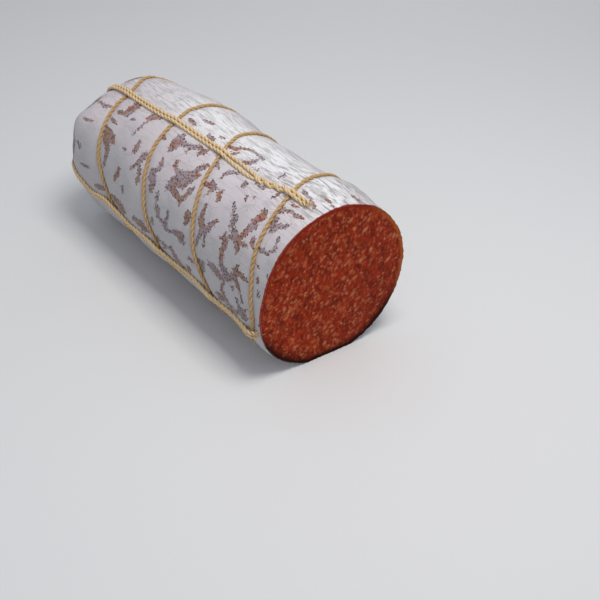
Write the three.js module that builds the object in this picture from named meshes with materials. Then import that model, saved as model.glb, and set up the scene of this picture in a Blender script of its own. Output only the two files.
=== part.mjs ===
// A dry-cured sausage with one end cut off, bound lengthwise and crosswise with twine.
// Millimetres, +Z up. The axis runs along X with the cut end towards +X, and the sausage rests on a
// narrow flat along its bottom. A place on it is given by its distance from the cut, its depth, and by
// its angle round the axis: 0 degrees is +Y, 90 the top, 180 is -Y and 270 the bottom.
import * as THREE from "three";
import { LoftGeometry } from "three/addons/geometries/LoftGeometry.js";

// Driving dimensions of the sausage
const radius = 42.5;
const length = 195; // from the cut to the pole of the closed end
const domeLength = 32; // the part of it over which the closed end rounds off
const domePower = 2.6; // how square its shoulder is: 2 is an ellipse
const axisHeight = 41.9; // less than the radius, which leaves the flat to rest on
const cutSlant = 0.071; // the cut's X for each millimetre of Y
const lean = { start: 120, amount: 3.5, angle: 244 }; // the closed end hangs off to one side
const lobe = { depth: 1, angle: 104, reach: 20 }; // the closed end is drawn in under the lengthwise cords
const pleat = { count: 11, depth: 0.8 }; // the gathers of the casing round the pole
const tail = { radius: 3.4, flare: 1.3, folds: 5, length: 11 }; // the bunched casing beyond the pole

// Places where the sausage is thicker or, with a negative height, flatter
const swells = [
  { depth: 21, angle: 49, height: 2.5, along: 12, around: 80 },
  { depth: 113, angle: 49, height: 1.9, along: 11, around: 70 },
  { depth: 132, angle: 49, height: 1.4, along: 12, around: 70 },
  { depth: 168, angle: 52, height: -1.2, along: 16, around: 30 },
  { depth: 10, angle: 215, height: 2.2, along: 12, around: 70 },
  { depth: 108, angle: 215, height: 0.6, along: 12, around: 70 },
  { depth: 162, angle: 225, height: -1, along: 16, around: 30 },
  { depth: 165, angle: 148, height: 1.8, along: 14, around: 25 },
  { depth: 0, angle: 168, height: -4, along: 22, around: 38 },
  { depth: 0, angle: 300, height: 1.4, along: 30, around: 45 },
];

// Driving dimensions of the twine
const twine = 1.8; // its diameter
const gap = 0.3; // kept between pieces that touch
const seatGap = 0.5; // kept under the twine, which bridges the faceted surface
const pinchReach = 6; // along the sausage, on either side of a loop
const humpReach = 6.5; // over which a lengthwise cord rises over a loop
const notch = { depth: 3, along: 5 }; // how far a loop is sunk where the sausage rests
const tie = { turns: 2.25, start: 0.37 }; // the twine round the tail, from this share of its length

// The loops round the sausage: pinch is how far each draws it in, and its route is [angle, depth] all
// the way round
const loops = {
  loop_1: {
    pinch: 0.5,
    route: [
      [0, 34.5], [30, 35], [56, 31.5], [74, 27.6], [90, 24.8], [104, 20.8], [121, 18], [146, 14.6],
      [170, 10.4], [182, 8.3], [191, 7.6], [199, 9.2], [207, 12.6], [220, 15.5], [245, 17.5], [280, 20.5],
      [330, 30.5],
    ],
  },
  loop_2: {
    pinch: 0.7,
    route: [
      [20, 87], [45, 87.5], [64, 85], [80, 83], [93, 78.6], [104, 74.4], [115, 70.6], [134, 66], [154, 60],
      [171, 54.4], [181, 49.6], [190, 45.4], [201, 42.5], [225, 42], [280, 52], [330, 72],
    ],
  },
  loop_3: {
    pinch: 0.9,
    route: [
      [0, 112], [30, 117.5], [60, 119.5], [80, 118.3], [91, 117.4], [104, 114.3], [118, 112.6],
      [132, 110.7], [145, 107.4], [158, 103.4], [170, 99.8], [180, 95.9], [189, 91], [200, 87.5],
      [225, 84.5], [280, 88.5], [330, 102.5],
    ],
  },
  loop_4: {
    pinch: 1.2,
    route: [
      [0, 160], [30, 168], [60, 171], [80, 169.5], [93, 165.5], [105, 161.5], [117, 159.7], [130, 156.6],
      [145, 152.4], [158, 149], [170, 143.8], [180, 139], [189, 133.5], [200, 130], [225, 127], [285, 133],
      [335, 150],
    ],
  },
};

// The lengthwise cords, each a pair of strands along a route of [depth, angle]. start is where the pair
// ends near the cut, spread is how far the two strands part at one place, and over what length.
const cords = {
  top: {
    start: 8.5,
    route: [
      [0, 101], [12, 101.3], [21, 102], [34, 104.2], [46, 106], [60, 105.2], [76, 104.3], [104, 105],
      [132, 107], [160, 105.5], [195, 104],
    ],
    spread: { depth: 53, amount: 0.9, along: 13 },
  },
  side: {
    start: 4,
    route: [
      [0, 196], [6, 198], [12, 199.2], [26, 197.6], [36, 198.2], [50, 195.5], [60, 194.6], [78, 196],
      [92, 194.6], [105, 193.2], [118, 193.6], [127, 191.6], [138, 188.6], [148, 190], [157, 192],
      [165, 188.5], [176, 184], [195, 182],
    ],
    spread: { depth: 72, amount: 0.5, along: 14 },
  },
  bottom: {
    start: 8,
    route: [[0, 303], [40, 302], [90, 304], [130, 303], [160, 300], [178, 293], [195, 286]],
    spread: { depth: 66, amount: 0.6, along: 14 },
  },
  back: {
    start: 11,
    route: [[0, 18], [35, 15], [75, 17.5], [118, 13], [150, 15], [195, 14]],
    spread: { depth: 94, amount: 0.7, along: 12 },
  },
};

// Fineness of the solids. The shares are where rows of the surface lie: from the cut to the first loop,
// from one loop to the next, and from the last loop round to the pole.
const columns = 60;
const cutShares = [0, 0.2, 0.45, 0.7, 0.87];
const bandShares = [0, 0.06, 0.15, 0.31, 0.5, 0.69, 0.85, 0.94];
const poleShares = [0, 0.05, 0.12, 0.22, 0.34, 0.47, 0.6, 0.72, 0.82, 0.9, 0.955, 0.99];
const twineSides = 8;
const loopSteps = 40;
const strandStep = 7.2; // between the points of a strand
const strandShares = [0, 0.12, 0.24, 0.36, 0.48, 0.6, 0.71, 0.81, 0.9, 0.96]; // its points on the closed end
const strandShort = 0.35; // how far short of the pole the last of them stays
const strandSteps = 40;
const tieStep = 16; // points in one turn of the tie

const rad = THREE.MathUtils.degToRad;
const bell = (distance, reach) => Math.exp(-((distance / reach) ** 2));
const plateau = (distance, reach) => Math.exp(-((distance / reach) ** 4));
const turn = (angle) => THREE.MathUtils.euclideanModulo(angle + 180, 360) - 180;
const share = (value, from, to) => THREE.MathUtils.clamp((value - from) / (to - from), 0, 1);
const domeStart = length - domeLength;

// The value at x of a smooth curve through [x, value] knots
function smooth(knots, x) {
  const last = knots.length - 2;
  const i = THREE.MathUtils.clamp(knots.findIndex((knot) => knot[0] > x) - 1, 0, last);
  const k = x >= knots[last][0] ? last : i;
  const slope = (a, b) => (b[1] - a[1]) / (b[0] - a[0]);
  const at = (n) => slope(knots[Math.max(n - 1, 0)], knots[Math.min(n + 1, knots.length - 1)]);
  const [[x0, v0], [x1, v1]] = [knots[k], knots[k + 1]];
  const span = x1 - x0;
  const t = (x - x0) / span;
  const rise = (v1 - v0) * t * t * (3 - 2 * t);
  const bend = at(k) * span * t * (1 - t) ** 2 - at(k + 1) * span * t * t * (1 - t);
  return v0 + rise + bend;
}

// The same for a loop, whose knots repeat every 360 degrees
function smoothLoop(knots, angle) {
  const around = [-360, 0, 360].flatMap((shift) => knots.map(([a, depth]) => [a + shift, depth]));
  return smooth(around, THREE.MathUtils.euclideanModulo(angle, 360));
}

const cutDepth = (angle) => -cutSlant * radius * Math.cos(rad(angle));

// How far the sausage's side lies from its axis, without the loops' pinches
function fullRadius(depth, angle) {
  const swelling = swells.reduce(
    (sum, s) => sum + s.height * bell(depth - s.depth, s.along) * bell(turn(angle - s.angle), s.around),
    radius,
  );
  const t = share(depth, domeStart, length);
  const near = share(depth, domeStart - lobe.reach, length - lobe.reach);
  const drawnIn = lobe.depth * near * (1 - t ** 4) * Math.cos(rad(4 * (angle - lobe.angle)));
  return swelling * (1 - t ** domePower) ** (1 / domePower) - drawnIn;
}

// The folds of the casing, which only reach inwards and fade out towards the shoulder and the pole
function pleatDepth(depth, angle) {
  const t = share(depth, domeStart, length);
  const fold = 0.5 + 0.5 * Math.cos(rad(pleat.count * angle));
  return pleat.depth * fold * t * t * (1 - t ** 12);
}

// The sum of a bell at each loop, each with its own height
const nearLoops = (depth, angle, reach, height = () => 1, shape = bell) =>
  Object.values(loops).reduce(
    (sum, loop) => sum + height(loop) * shape(depth - smoothLoop(loop.route, angle), reach),
    0,
  );

// A point at a distance r from the axis, which hangs off towards the closed end
function aroundAxis(depth, angle, r) {
  const hang = lean.amount * share(depth, lean.start, length) ** 1.5;
  const y = r * Math.cos(rad(angle)) + hang * Math.cos(rad(lean.angle));
  const z = axisHeight + r * Math.sin(rad(angle)) + hang * Math.sin(rad(lean.angle));
  return new THREE.Vector3(-depth, y, z);
}

// A point on the sausage's side. The radius never falls below the tail's, which closes the pole.
function sidePoint(depth, angle, isPinched = true) {
  const drawn = nearLoops(depth, angle, pinchReach, (loop) => loop.pinch) + pleatDepth(depth, angle);
  const inward = isPinched ? drawn : 0;
  const r = Math.max(fullRadius(depth, angle) - inward, tail.radius);
  const place = aroundAxis(depth, angle, r);
  const floor = isPinched ? notch.depth * Math.min(nearLoops(depth, angle, notch.along), 1) : 0;
  place.z = Math.max(place.z, floor);
  return place;
}

// The point at a given height over the side, along the side's normal
function raisedPoint(depth, angle, height, isPinched) {
  const small = 0.4;
  const along = sidePoint(depth - small, angle, isPinched).sub(sidePoint(depth + small, angle, isPinched));
  const across = sidePoint(depth, angle + small, isPinched).sub(sidePoint(depth, angle - small, isPinched));
  const normal = across.cross(along).normalize();
  return sidePoint(depth, angle, isPinched).addScaledVector(normal, height);
}

// The rows of the sausage's surface, each the depth at every angle. A row runs at a share of the way from
// one loop to the next, so that a row lies under every loop.
function sausageRows() {
  const lines = Object.values(loops).map((loop) => (angle) => smoothLoop(loop.route, angle));
  const between = (from, to, shares) =>
    shares.map((part) => (angle) => THREE.MathUtils.lerp(from(angle), to(angle), part));
  const rows = between(cutDepth, lines[0], cutShares);
  for (let i = 0; i + 1 < lines.length; i++) rows.push(...between(lines[i], lines[i + 1], bandShares));
  const roundToPole = poleShares.map((part) => Math.sin((part * Math.PI) / 2));
  rows.push(...between(lines.at(-1), () => length, roundToPole));
  return rows;
}

function sausageGeometry() {
  const angles = Array.from({ length: columns }, (_, i) => (-360 * i) / columns);
  const sections = sausageRows().map((row) => angles.map((angle) => sidePoint(row(angle), angle)));
  // The tail: a short neck that flares and folds at its end
  for (const [out, flare] of [[0.06, 0], [0.68, 0], [0.84, 0.7], [0.95, 1], [1, 0.5]]) {
    sections.push(
      angles.map((angle) => {
        const r = tail.radius + flare * tail.flare * (0.8 + 0.2 * Math.cos(rad(tail.folds * angle)));
        return aroundAxis(length + out * tail.length, angle, r);
      }),
    );
  }
  return new LoftGeometry(sections, { capStart: true, capEnd: true });
}

// A closed loop of twine lying in its pinch
function loopGeometry(knots) {
  const centres = Array.from({ length: loopSteps }, (_, i) => {
    const angle = (360 * i) / loopSteps;
    const centre = raisedPoint(smoothLoop(knots, angle), angle, twine / 2 + seatGap, true);
    centre.z = Math.max(centre.z, twine / 2 + 0.05);
    return centre;
  });
  const route = new THREE.CatmullRomCurve3(centres, true);
  const torus = new THREE.TorusGeometry(radius, twine / 2, twineSides, loopSteps);
  const place = torus.getAttribute("position");
  for (let i = 0; i < place.count; i++) {
    const around = (i % (loopSteps + 1)) % loopSteps;
    const side = (Math.floor(i / (loopSteps + 1)) % twineSides) / twineSides;
    const centre = route.getPoint(around / loopSteps);
    const ahead = route.getTangent(around / loopSteps);
    const outward = new THREE.Vector3(0, centre.y, centre.z - axisHeight).normalize();
    const across = new THREE.Vector3().crossVectors(ahead, outward).normalize();
    outward.crossVectors(across, ahead);
    centre.addScaledVector(outward, (twine / 2) * Math.cos(2 * Math.PI * side));
    centre.addScaledVector(across, (-twine / 2) * Math.sin(2 * Math.PI * side));
    place.setXYZ(i, centre.x, centre.y, centre.z);
  }
  return torus;
}

// A round tube of twine along a route of points
function twineGeometry(points, steps) {
  const outline = new THREE.Shape();
  outline.absarc(0, 0, twine / 2, 0, 2 * Math.PI);
  return new THREE.ExtrudeGeometry(outline, {
    steps,
    curveSegments: twineSides / 2,
    bevelEnabled: false,
    extrudePath: new THREE.CatmullRomCurve3(points, false, "centripetal"),
  });
}

// One strand of a cord: from its end near the cut, over the closed end and out along the tail
function strandGeometry({ start, route, spread }, side) {
  const points = [];
  const straight = Math.ceil((domeStart - start) / strandStep);
  const stations = Array.from({ length: straight }, (_, i) => start + ((domeStart - start) * i) / straight);
  const round = domeLength - strandShort;
  for (const part of strandShares) stations.push(domeStart + round * Math.sin((part * Math.PI) / 2));
  for (const depth of stations) {
    const line = smooth(route, depth);
    const apart = twine + gap + spread.amount * bell(depth - spread.depth, spread.along);
    const shift = THREE.MathUtils.radToDeg(apart / 2 / Math.max(fullRadius(depth, line), 8));
    const angle = line + side * shift;
    const rise = nearLoops(depth, angle, humpReach, (loop) => twine + 1.5 * gap - loop.pinch, plateau);
    points.push(raisedPoint(depth, angle, twine / 2 + seatGap + rise, false));
  }
  const poleAngle = route.at(-1)[1];
  const besideTail = tail.radius + gap + twine / 2;
  for (const [out, clear] of [[0.12, 2.2], [0.28, 0.4], [0.46, 0.1], [0.66, 0.1]]) {
    const r = besideTail + clear;
    const angle = poleAngle + side * THREE.MathUtils.radToDeg((twine + gap) / 2 / r);
    points.push(aroundAxis(length + out * tail.length, angle, r));
  }
  return twineGeometry(points, strandSteps);
}

// The twine wound round the tail and the cords' ends
function tieGeometry() {
  const r = tail.radius + 1.5 * twine + 3.5 * gap;
  const steps = tie.turns * tieStep;
  const points = Array.from({ length: steps + 1 }, (_, i) => {
    const out = tie.start * tail.length + ((twine + gap) * i) / tieStep;
    return aroundAxis(length + out, (360 * i) / tieStep, r);
  });
  return twineGeometry(points, steps);
}

const casing = new THREE.MeshStandardMaterial({ name: "casing", color: 0xc9c3c6, roughness: 0.75 });
const straw = new THREE.MeshStandardMaterial({ name: "twine", color: 0xc9a367, roughness: 0.9 });

const sausage = new THREE.Group();

function addPiece(name, geometry, material) {
  const mesh = new THREE.Mesh(geometry, material);
  mesh.name = name;
  sausage.add(mesh);
}

addPiece("sausage", sausageGeometry(), casing);
for (const [name, loop] of Object.entries(loops)) addPiece(name, loopGeometry(loop.route), straw);
for (const [name, cord] of Object.entries(cords)) {
  addPiece(`cord_${name}_left`, strandGeometry(cord, 1), straw);
  addPiece(`cord_${name}_right`, strandGeometry(cord, -1), straw);
}
addPiece("end_tie", tieGeometry(), straw);

// The origin is the middle of the sausage's footprint, on the surface it rests on
const extent = new THREE.Box3().setFromObject(sausage, true);
const middle = extent.getCenter(new THREE.Vector3());
sausage.position.set(-middle.x, -middle.y, -extent.min.z);

export default sausage;
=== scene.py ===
"""Looks of a tied dry-cured sausage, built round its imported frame.

Sizes are in millimetres and pieces are made in metres. A place on the sausage is given as in its source: its
depth is the distance from the cut along -X, and its angle runs round the axis from 0 at +Y through 90 at the
top and 180 at -Y.
"""

from __future__ import annotations

import logging
import math
from collections.abc import Mapping, Sequence
from dataclasses import dataclass
from enum import Enum

import bmesh
import bpy
import numpy as np
from mathutils import Matrix, Vector, noise

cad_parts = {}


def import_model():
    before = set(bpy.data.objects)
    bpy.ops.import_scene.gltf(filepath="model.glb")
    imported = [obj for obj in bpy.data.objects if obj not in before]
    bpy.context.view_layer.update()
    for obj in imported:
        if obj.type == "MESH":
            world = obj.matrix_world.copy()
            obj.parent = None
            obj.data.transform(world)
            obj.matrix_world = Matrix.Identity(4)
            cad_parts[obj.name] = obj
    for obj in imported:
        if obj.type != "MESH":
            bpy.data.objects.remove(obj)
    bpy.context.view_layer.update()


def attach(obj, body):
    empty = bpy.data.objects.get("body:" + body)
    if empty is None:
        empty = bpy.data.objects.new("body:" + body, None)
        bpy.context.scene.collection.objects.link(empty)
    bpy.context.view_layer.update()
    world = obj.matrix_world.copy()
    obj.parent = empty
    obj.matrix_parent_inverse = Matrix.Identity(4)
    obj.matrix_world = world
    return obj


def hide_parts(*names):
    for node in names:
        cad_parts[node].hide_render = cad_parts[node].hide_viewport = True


LOG = logging.getLogger("sausage")
MM = 0.001
SEED = 7
MERGE_DISTANCE = 1e-6
NOISE_DIMENSION = 0.8
NOISE_STEP = 2.0

Array = np.ndarray
Pair = tuple[float, float]
Band = tuple[float, float]
Knots = Sequence[tuple[float, float]]
Line = tuple[tuple[float, float, float], ...]


def colour(code: str) -> tuple[float, float, float, float]:
    """Turns a colour code into a linear colour.

    Args:
        code: Six hexadecimal digits, red, green and blue.

    Returns:
        The colour as the shaders want it, with an alpha of 1.
    """
    limit, slope, offset, power = 0.04045, 12.92, 0.055, 2.4
    parts = [int(code[i : i + 2], 16) / 255 for i in (0, 2, 4)]
    red, green, blue = [c / slope if c <= limit else ((c + offset) / (1 + offset)) ** power for c in parts]
    return red, green, blue, 1.0


def bell(distance: Array, reach: float) -> Array:
    """Returns 1 where the distance is 0, falling off within the reach."""
    return np.exp(-((distance / reach) ** 2))


def turned(angle: Array) -> Array:
    """Returns an angle in degrees as one from -180 to 180."""
    return (angle + 180) % 360 - 180


def share(value: Array, low: float, high: float) -> Array:
    """Returns how far a value has come from low to high, from 0 to 1."""
    return np.clip((value - low) / (high - low), 0, 1)


def eased(value: Array, low: float, high: float) -> Array:
    """Returns the same with a soft start and end."""
    t = share(value, low, high)
    return t * t * (3 - 2 * t)


def smooth(knots: Knots, x: Array) -> Array:
    """Reads a smooth curve through knots.

    Args:
        knots: Pairs of a place and the value there, in order.
        x: The places to read.

    Returns:
        The curve's value at each place.
    """
    places, values = np.array(knots, float).T
    last = len(places) - 1
    k = np.clip(np.searchsorted(places, x, side="right") - 1, 0, last - 1)

    def slope(n: Array) -> Array:
        """Returns the curve's slope at the knots numbered n."""
        before, after = np.maximum(n - 1, 0), np.minimum(n + 1, last)
        return (values[after] - values[before]) / (places[after] - places[before])

    span = places[k + 1] - places[k]
    t = (x - places[k]) / span
    rise = (values[k + 1] - values[k]) * t * t * (3 - 2 * t)
    bend = slope(k) * span * t * (1 - t) ** 2 - slope(k + 1) * span * t * t * (1 - t)
    return values[k] + rise + bend


def smooth_round(knots: Knots, angle: Array) -> Array:
    """Reads the same kind of curve where its knots repeat every 360 degrees."""
    rounds = [(place + shift, value) for shift in (-360, 0, 360) for place, value in knots]
    return smooth(rounds, np.asarray(angle) % 360)


def rings(line: Array, first: Array, second: Array, thick: Array, sides: int) -> tuple[Array, Array]:
    """Lays rings of points round a line.

    Args:
        line: Points along the middle.
        first: For each of them, a direction across the line.
        second: The direction across both.
        thick: The radius there.
        sides: How many points a ring has.

    Returns:
        The rings, each with its first point repeated, and the angle of each point in radians.
    """
    around = np.linspace(0, 2 * math.pi, sides + 1)
    ring = np.cos(around)[None, :, None] * first[:, None] + np.sin(around)[None, :, None] * second[:, None]
    return line[:, None] + ring * thick[:, None, None], around


@dataclass(frozen=True)
class Mottle:
    """Fractal noise over places in millimetres, with lumps of one size or of one for each direction."""

    height: float
    size: float | tuple[float, float, float]
    octaves: int = 2
    shift: float = 0.0

    def at(self, points: Array) -> Array:
        """Reads the noise.

        Args:
            points: Places in millimetres, with the three coordinates last.

        Returns:
            The noise at each place, about from -height to height.
        """
        spots = (points / np.array(self.size) + self.shift).reshape(-1, 3).tolist()
        values = [noise.fractal(spot, NOISE_DIMENSION, NOISE_STEP, self.octaves) for spot in spots]
        return self.height * np.array(values).reshape(points.shape[:-1])


@dataclass(frozen=True)
class Swell:
    """A place where the sausage is thicker or, with a negative height, flatter."""

    depth: float
    angle: float
    height: float
    along: float
    around: float

    def height_at(self, depth: Array, angle: Array) -> Array:
        """Returns what the swell adds to the radius at a place."""
        across = bell(turned(angle - self.angle), self.around)
        return self.height * bell(depth - self.depth, self.along) * across


@dataclass(frozen=True)
class Loop:
    """A loop of twine round the sausage: its route is (angle, depth) all the way round."""

    name: str
    pinch: float
    route: Knots

    def distance(self, depth: Array, angle: Array) -> Array:
        """Returns how far along the sausage a place is from the loop."""
        return depth - smooth_round(self.route, angle)


@dataclass(frozen=True)
class Cord:
    """A pair of lengthwise strands: its route is (depth, angle) from the cut to the pole.

    The pair starts at a depth near the cut, and its strands part by spread_by near the depth spread_at. They
    wrap round each other a number of times between the second loop and the first.
    """

    name: str
    start: float
    route: Knots
    spread_at: float
    spread_by: float
    spread_along: float
    wraps: int = 0


LOOPS = (
    Loop(
        "loop_1",
        0.5,
        (
            (0, 34.5), (30, 35), (56, 31.5), (74, 27.6), (90, 24.8), (104, 20.8), (121, 18), (146, 14.6),
            (170, 10.4), (182, 8.3), (191, 7.6), (199, 9.2), (207, 12.6), (220, 15.5), (245, 17.5),
            (280, 20.5), (330, 30.5),
        ),
    ),
    Loop(
        "loop_2",
        0.7,
        (
            (20, 87), (45, 87.5), (64, 85), (80, 83), (93, 78.6), (104, 74.4), (115, 70.6), (134, 66),
            (154, 60), (171, 54.4), (181, 49.6), (190, 45.4), (201, 42.5), (225, 42), (280, 52), (330, 72),
        ),
    ),
    Loop(
        "loop_3",
        0.9,
        (
            (0, 112), (30, 117.5), (60, 119.5), (80, 118.3), (91, 117.4), (104, 114.3), (118, 112.6),
            (132, 110.7), (145, 107.4), (158, 103.4), (170, 99.8), (180, 95.9), (189, 91), (200, 87.5),
            (225, 84.5), (280, 88.5), (330, 102.5),
        ),
    ),
    Loop(
        "loop_4",
        1.2,
        (
            (0, 160), (30, 168), (60, 171), (80, 169.5), (93, 165.5), (105, 161.5), (117, 159.7),
            (130, 156.6), (145, 152.4), (158, 149), (170, 143.8), (180, 139), (189, 133.5), (200, 130),
            (225, 127), (285, 133), (335, 150),
        ),
    ),
)

CORDS = (
    Cord(
        "top",
        8.5,
        (
            (0, 101), (12, 101.3), (21, 102), (34, 104.2), (46, 106), (60, 105.2), (76, 104.3), (104, 105),
            (132, 107), (160, 105.5), (195, 104),
        ),
        56,
        0.9,
        12,
        2,
    ),
    Cord(
        "side",
        4,
        (
            (0, 196), (6, 198), (12, 199.2), (26, 197.6), (36, 198.2), (50, 195.5), (60, 194.6), (78, 196),
            (92, 194.6), (105, 193.2), (118, 193.6), (127, 191.6), (138, 188.6), (148, 190), (157, 192),
            (165, 188.5), (176, 184), (195, 182),
        ),
        72,
        0.5,
        14,
    ),
    Cord(
        "bottom",
        8,
        ((0, 303), (40, 302), (90, 304), (130, 303), (160, 300), (178, 293), (195, 286)),
        66,
        0.6,
        14,
    ),
    Cord("back", 11, ((0, 18), (35, 15), (75, 17.5), (118, 13), (150, 15), (195, 14)), 94, 0.7, 12),
)


@dataclass(frozen=True)
class SausageForm:
    """The sausage's shape, with the driving dimensions of its solid."""

    centre: tuple[float, float] = (101.491, -0.528)
    radius: float = 42.5
    length: float = 195.0
    dome_length: float = 32.0
    dome_power: float = 2.6
    axis_height: float = 41.9
    cut_slant: float = 0.071
    lean_start: float = 120.0
    lean_amount: float = 3.5
    lean_power: float = 1.5
    lean_angle: float = 244.0
    lobe_count: int = 4
    lobe_depth: float = 1.0
    lobe_angle: float = 104.0
    lobe_reach: float = 20.0
    lobe_power: int = 4
    pleat_count: int = 11
    pleat_depth: float = 0.8
    pleat_power: int = 12
    pinch_reach: float = 6.0
    tail_radius: float = 3.4
    tail_length: float = 11.0
    swells: tuple[Swell, ...] = (
        Swell(21, 49, 2.5, 12, 80),
        Swell(113, 49, 1.9, 11, 70),
        Swell(132, 49, 1.4, 12, 70),
        Swell(168, 52, -1.2, 16, 30),
        Swell(10, 215, 2.2, 12, 70),
        Swell(108, 215, 0.6, 12, 70),
        Swell(162, 225, -1, 16, 30),
        Swell(165, 148, 1.8, 14, 25),
        Swell(0, 168, -4, 22, 38),
        Swell(0, 300, 1.4, 30, 45),
    )

    @property
    def dome_start(self) -> float:
        """The depth at which the closed end begins to round off."""
        return self.length - self.dome_length

    def cut_depth(self, angle: Array) -> Array:
        """Returns the depth of the slanting cut's rim."""
        return -self.cut_slant * self.radius * np.cos(np.radians(angle))

    def full_radius(self, depth: Array, angle: Array) -> Array:
        """Measures the sausage without the loops' pinches.

        Args:
            depth: The distance from the cut.
            angle: The angle round the axis, in degrees.

        Returns:
            The distance of its side from its axis.
        """
        swollen = self.radius + sum(swell.height_at(depth, angle) for swell in self.swells)
        t = share(depth, self.dome_start, self.length)
        near = share(depth, self.dome_start - self.lobe_reach, self.length - self.lobe_reach)
        lobes = np.cos(np.radians(self.lobe_count * (angle - self.lobe_angle)))
        drawn = self.lobe_depth * near * (1 - t**self.lobe_power) * lobes
        return swollen * (1 - t**self.dome_power) ** (1 / self.dome_power) - drawn

    def around_axis(self, depth: Array, angle: Array, r: Array) -> Array:
        """Finds a point by its distance from the axis, which hangs off towards the closed end.

        Args:
            depth: The distance from the cut.
            angle: The angle round the axis, in degrees.
            r: The distance from the axis.

        Returns:
            The point in the frame.
        """
        hang = self.lean_amount * share(depth, self.lean_start, self.length) ** self.lean_power
        lean = math.radians(self.lean_angle)
        x = self.centre[0] - depth + 0 * r
        y = self.centre[1] + r * np.cos(np.radians(angle)) + hang * math.cos(lean)
        z = self.axis_height + r * np.sin(np.radians(angle)) + hang * math.sin(lean)
        return np.stack([x, y, z], axis=-1)

    def point(self, depth: Array, angle: Array, pinched: bool = True, inset: Array = 0.0) -> Array:
        """Finds a point on the sausage's side.

        Args:
            depth: The distance from the cut.
            angle: The angle round the axis, in degrees.
            pinched: Whether the loops draw the side in.
            inset: How far inside the surface the point lies.

        Returns:
            The point in the frame.
        """
        t = share(depth, self.dome_start, self.length)
        fold = 0.5 + 0.5 * np.cos(np.radians(self.pleat_count * angle))
        inward = self.pleat_depth * fold * t * t * (1 - t**self.pleat_power)
        inward += sum(loop.pinch * bell(loop.distance(depth, angle), self.pinch_reach) for loop in LOOPS)
        r = np.maximum(self.full_radius(depth, angle) - (inward if pinched else 0), self.tail_radius)
        place = self.around_axis(depth, angle, np.maximum(r - inset, 0))
        place[..., 2] = np.maximum(place[..., 2], 0)
        return place

    def raised(self, depth: Array, angle: Array, height: Array, pinched: bool = True) -> Array:
        """Finds a point over the sausage's side, along the side's normal.

        Args:
            depth: The distance from the cut.
            angle: The angle round the axis, in degrees.
            height: How far over the side it lies.
            pinched: Whether the loops draw the side in.

        Returns:
            The point in the frame.
        """
        small, least = 0.4, 1e-9
        along = self.point(depth - small, angle, pinched) - self.point(depth + small, angle, pinched)
        across = self.point(depth, angle + small, pinched) - self.point(depth, angle - small, pinched)
        normal = np.cross(across, along)
        normal /= np.maximum(np.linalg.norm(normal, axis=-1, keepdims=True), least)
        return self.point(depth, angle, pinched) + normal * np.asarray(height)[..., None]

    def profile(self, step: float) -> tuple[Array, Array]:
        """Finds evenly spaced rows from the cut to the tail.

        Args:
            step: The distance between rows over the surface.

        Returns:
            Each row's depth, and its distance from the cut over the surface.
        """
        samples = 600
        bend = np.linspace(0, math.pi / 2, samples)
        t = np.sin(bend) ** (2 / self.dome_power)
        r = self.radius * np.cos(bend) ** (2 / self.dome_power)
        used = r > self.tail_radius
        depth = np.concatenate([[0], self.dome_start + self.dome_length * t[used]])
        r = np.concatenate([[self.radius], r[used]])
        travel = np.concatenate([[0], np.cumsum(np.hypot(np.diff(depth), np.diff(r)))])
        even = np.linspace(0, travel[-1], round(travel[-1] / step))
        return np.interp(even, travel, depth), even

    def travel(self, depth: Array) -> Array:
        """Measures the way over the surface.

        Args:
            depth: A distance from the cut along the axis.

        Returns:
            The distance from the cut over the surface.
        """
        fine_step = 0.5
        depths, travels = self.profile(fine_step)
        return np.interp(depth, depths, travels)


class Workpiece:
    """A mesh in the making, of grids that are laid on points."""

    def __init__(self, marks: Sequence[str] = ()) -> None:
        """Starts an empty mesh whose vertices can hold the named marks."""
        self.shape = bmesh.new()
        self.layers = {mark: self.shape.verts.layers.float.new(mark) for mark in marks}

    def lay_sheet(self, points: Array, marks: Mapping[str, Array] | None = None) -> None:
        """Adds a grid and lays its vertices on points.

        Args:
            points: Rows of points in millimetres.
            marks: For each of the piece's marks, its value at every point.
        """
        rows, columns = points.shape[:2]
        half = 0.5
        made = bmesh.ops.create_grid(self.shape, x_segments=columns - 1, y_segments=rows - 1, size=half)
        places = (points * MM).tolist()
        values = [(self.layers[mark], value.tolist()) for mark, value in (marks or {}).items()]
        for vert in made["verts"]:
            row = round((vert.co.y + half) * (rows - 1))
            column = round((vert.co.x + half) * (columns - 1))
            vert.co = places[row][column]
            for layer, value in values:
                vert[layer] = value[row][column]

    def finish(self, name: str, material: bpy.types.Material) -> bpy.types.Object:
        """Closes the seams and poles and makes the piece.

        Args:
            name: The piece's name.
            material: Its finish.

        Returns:
            The piece, which rides on the sausage's only body.
        """
        bmesh.ops.remove_doubles(self.shape, verts=self.shape.verts, dist=MERGE_DISTANCE)
        bmesh.ops.recalc_face_normals(self.shape, faces=self.shape.faces)
        for face in self.shape.faces:
            face.smooth = True
        mesh = bpy.data.meshes.new(name)
        self.shape.to_mesh(mesh)
        self.shape.free()
        mesh.materials.append(material)
        piece = bpy.data.objects.new(name, mesh)
        bpy.context.scene.collection.objects.link(piece)
        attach(piece, "root")
        LOG.info("%s: %d faces", name, len(mesh.polygons))
        return piece


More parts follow.
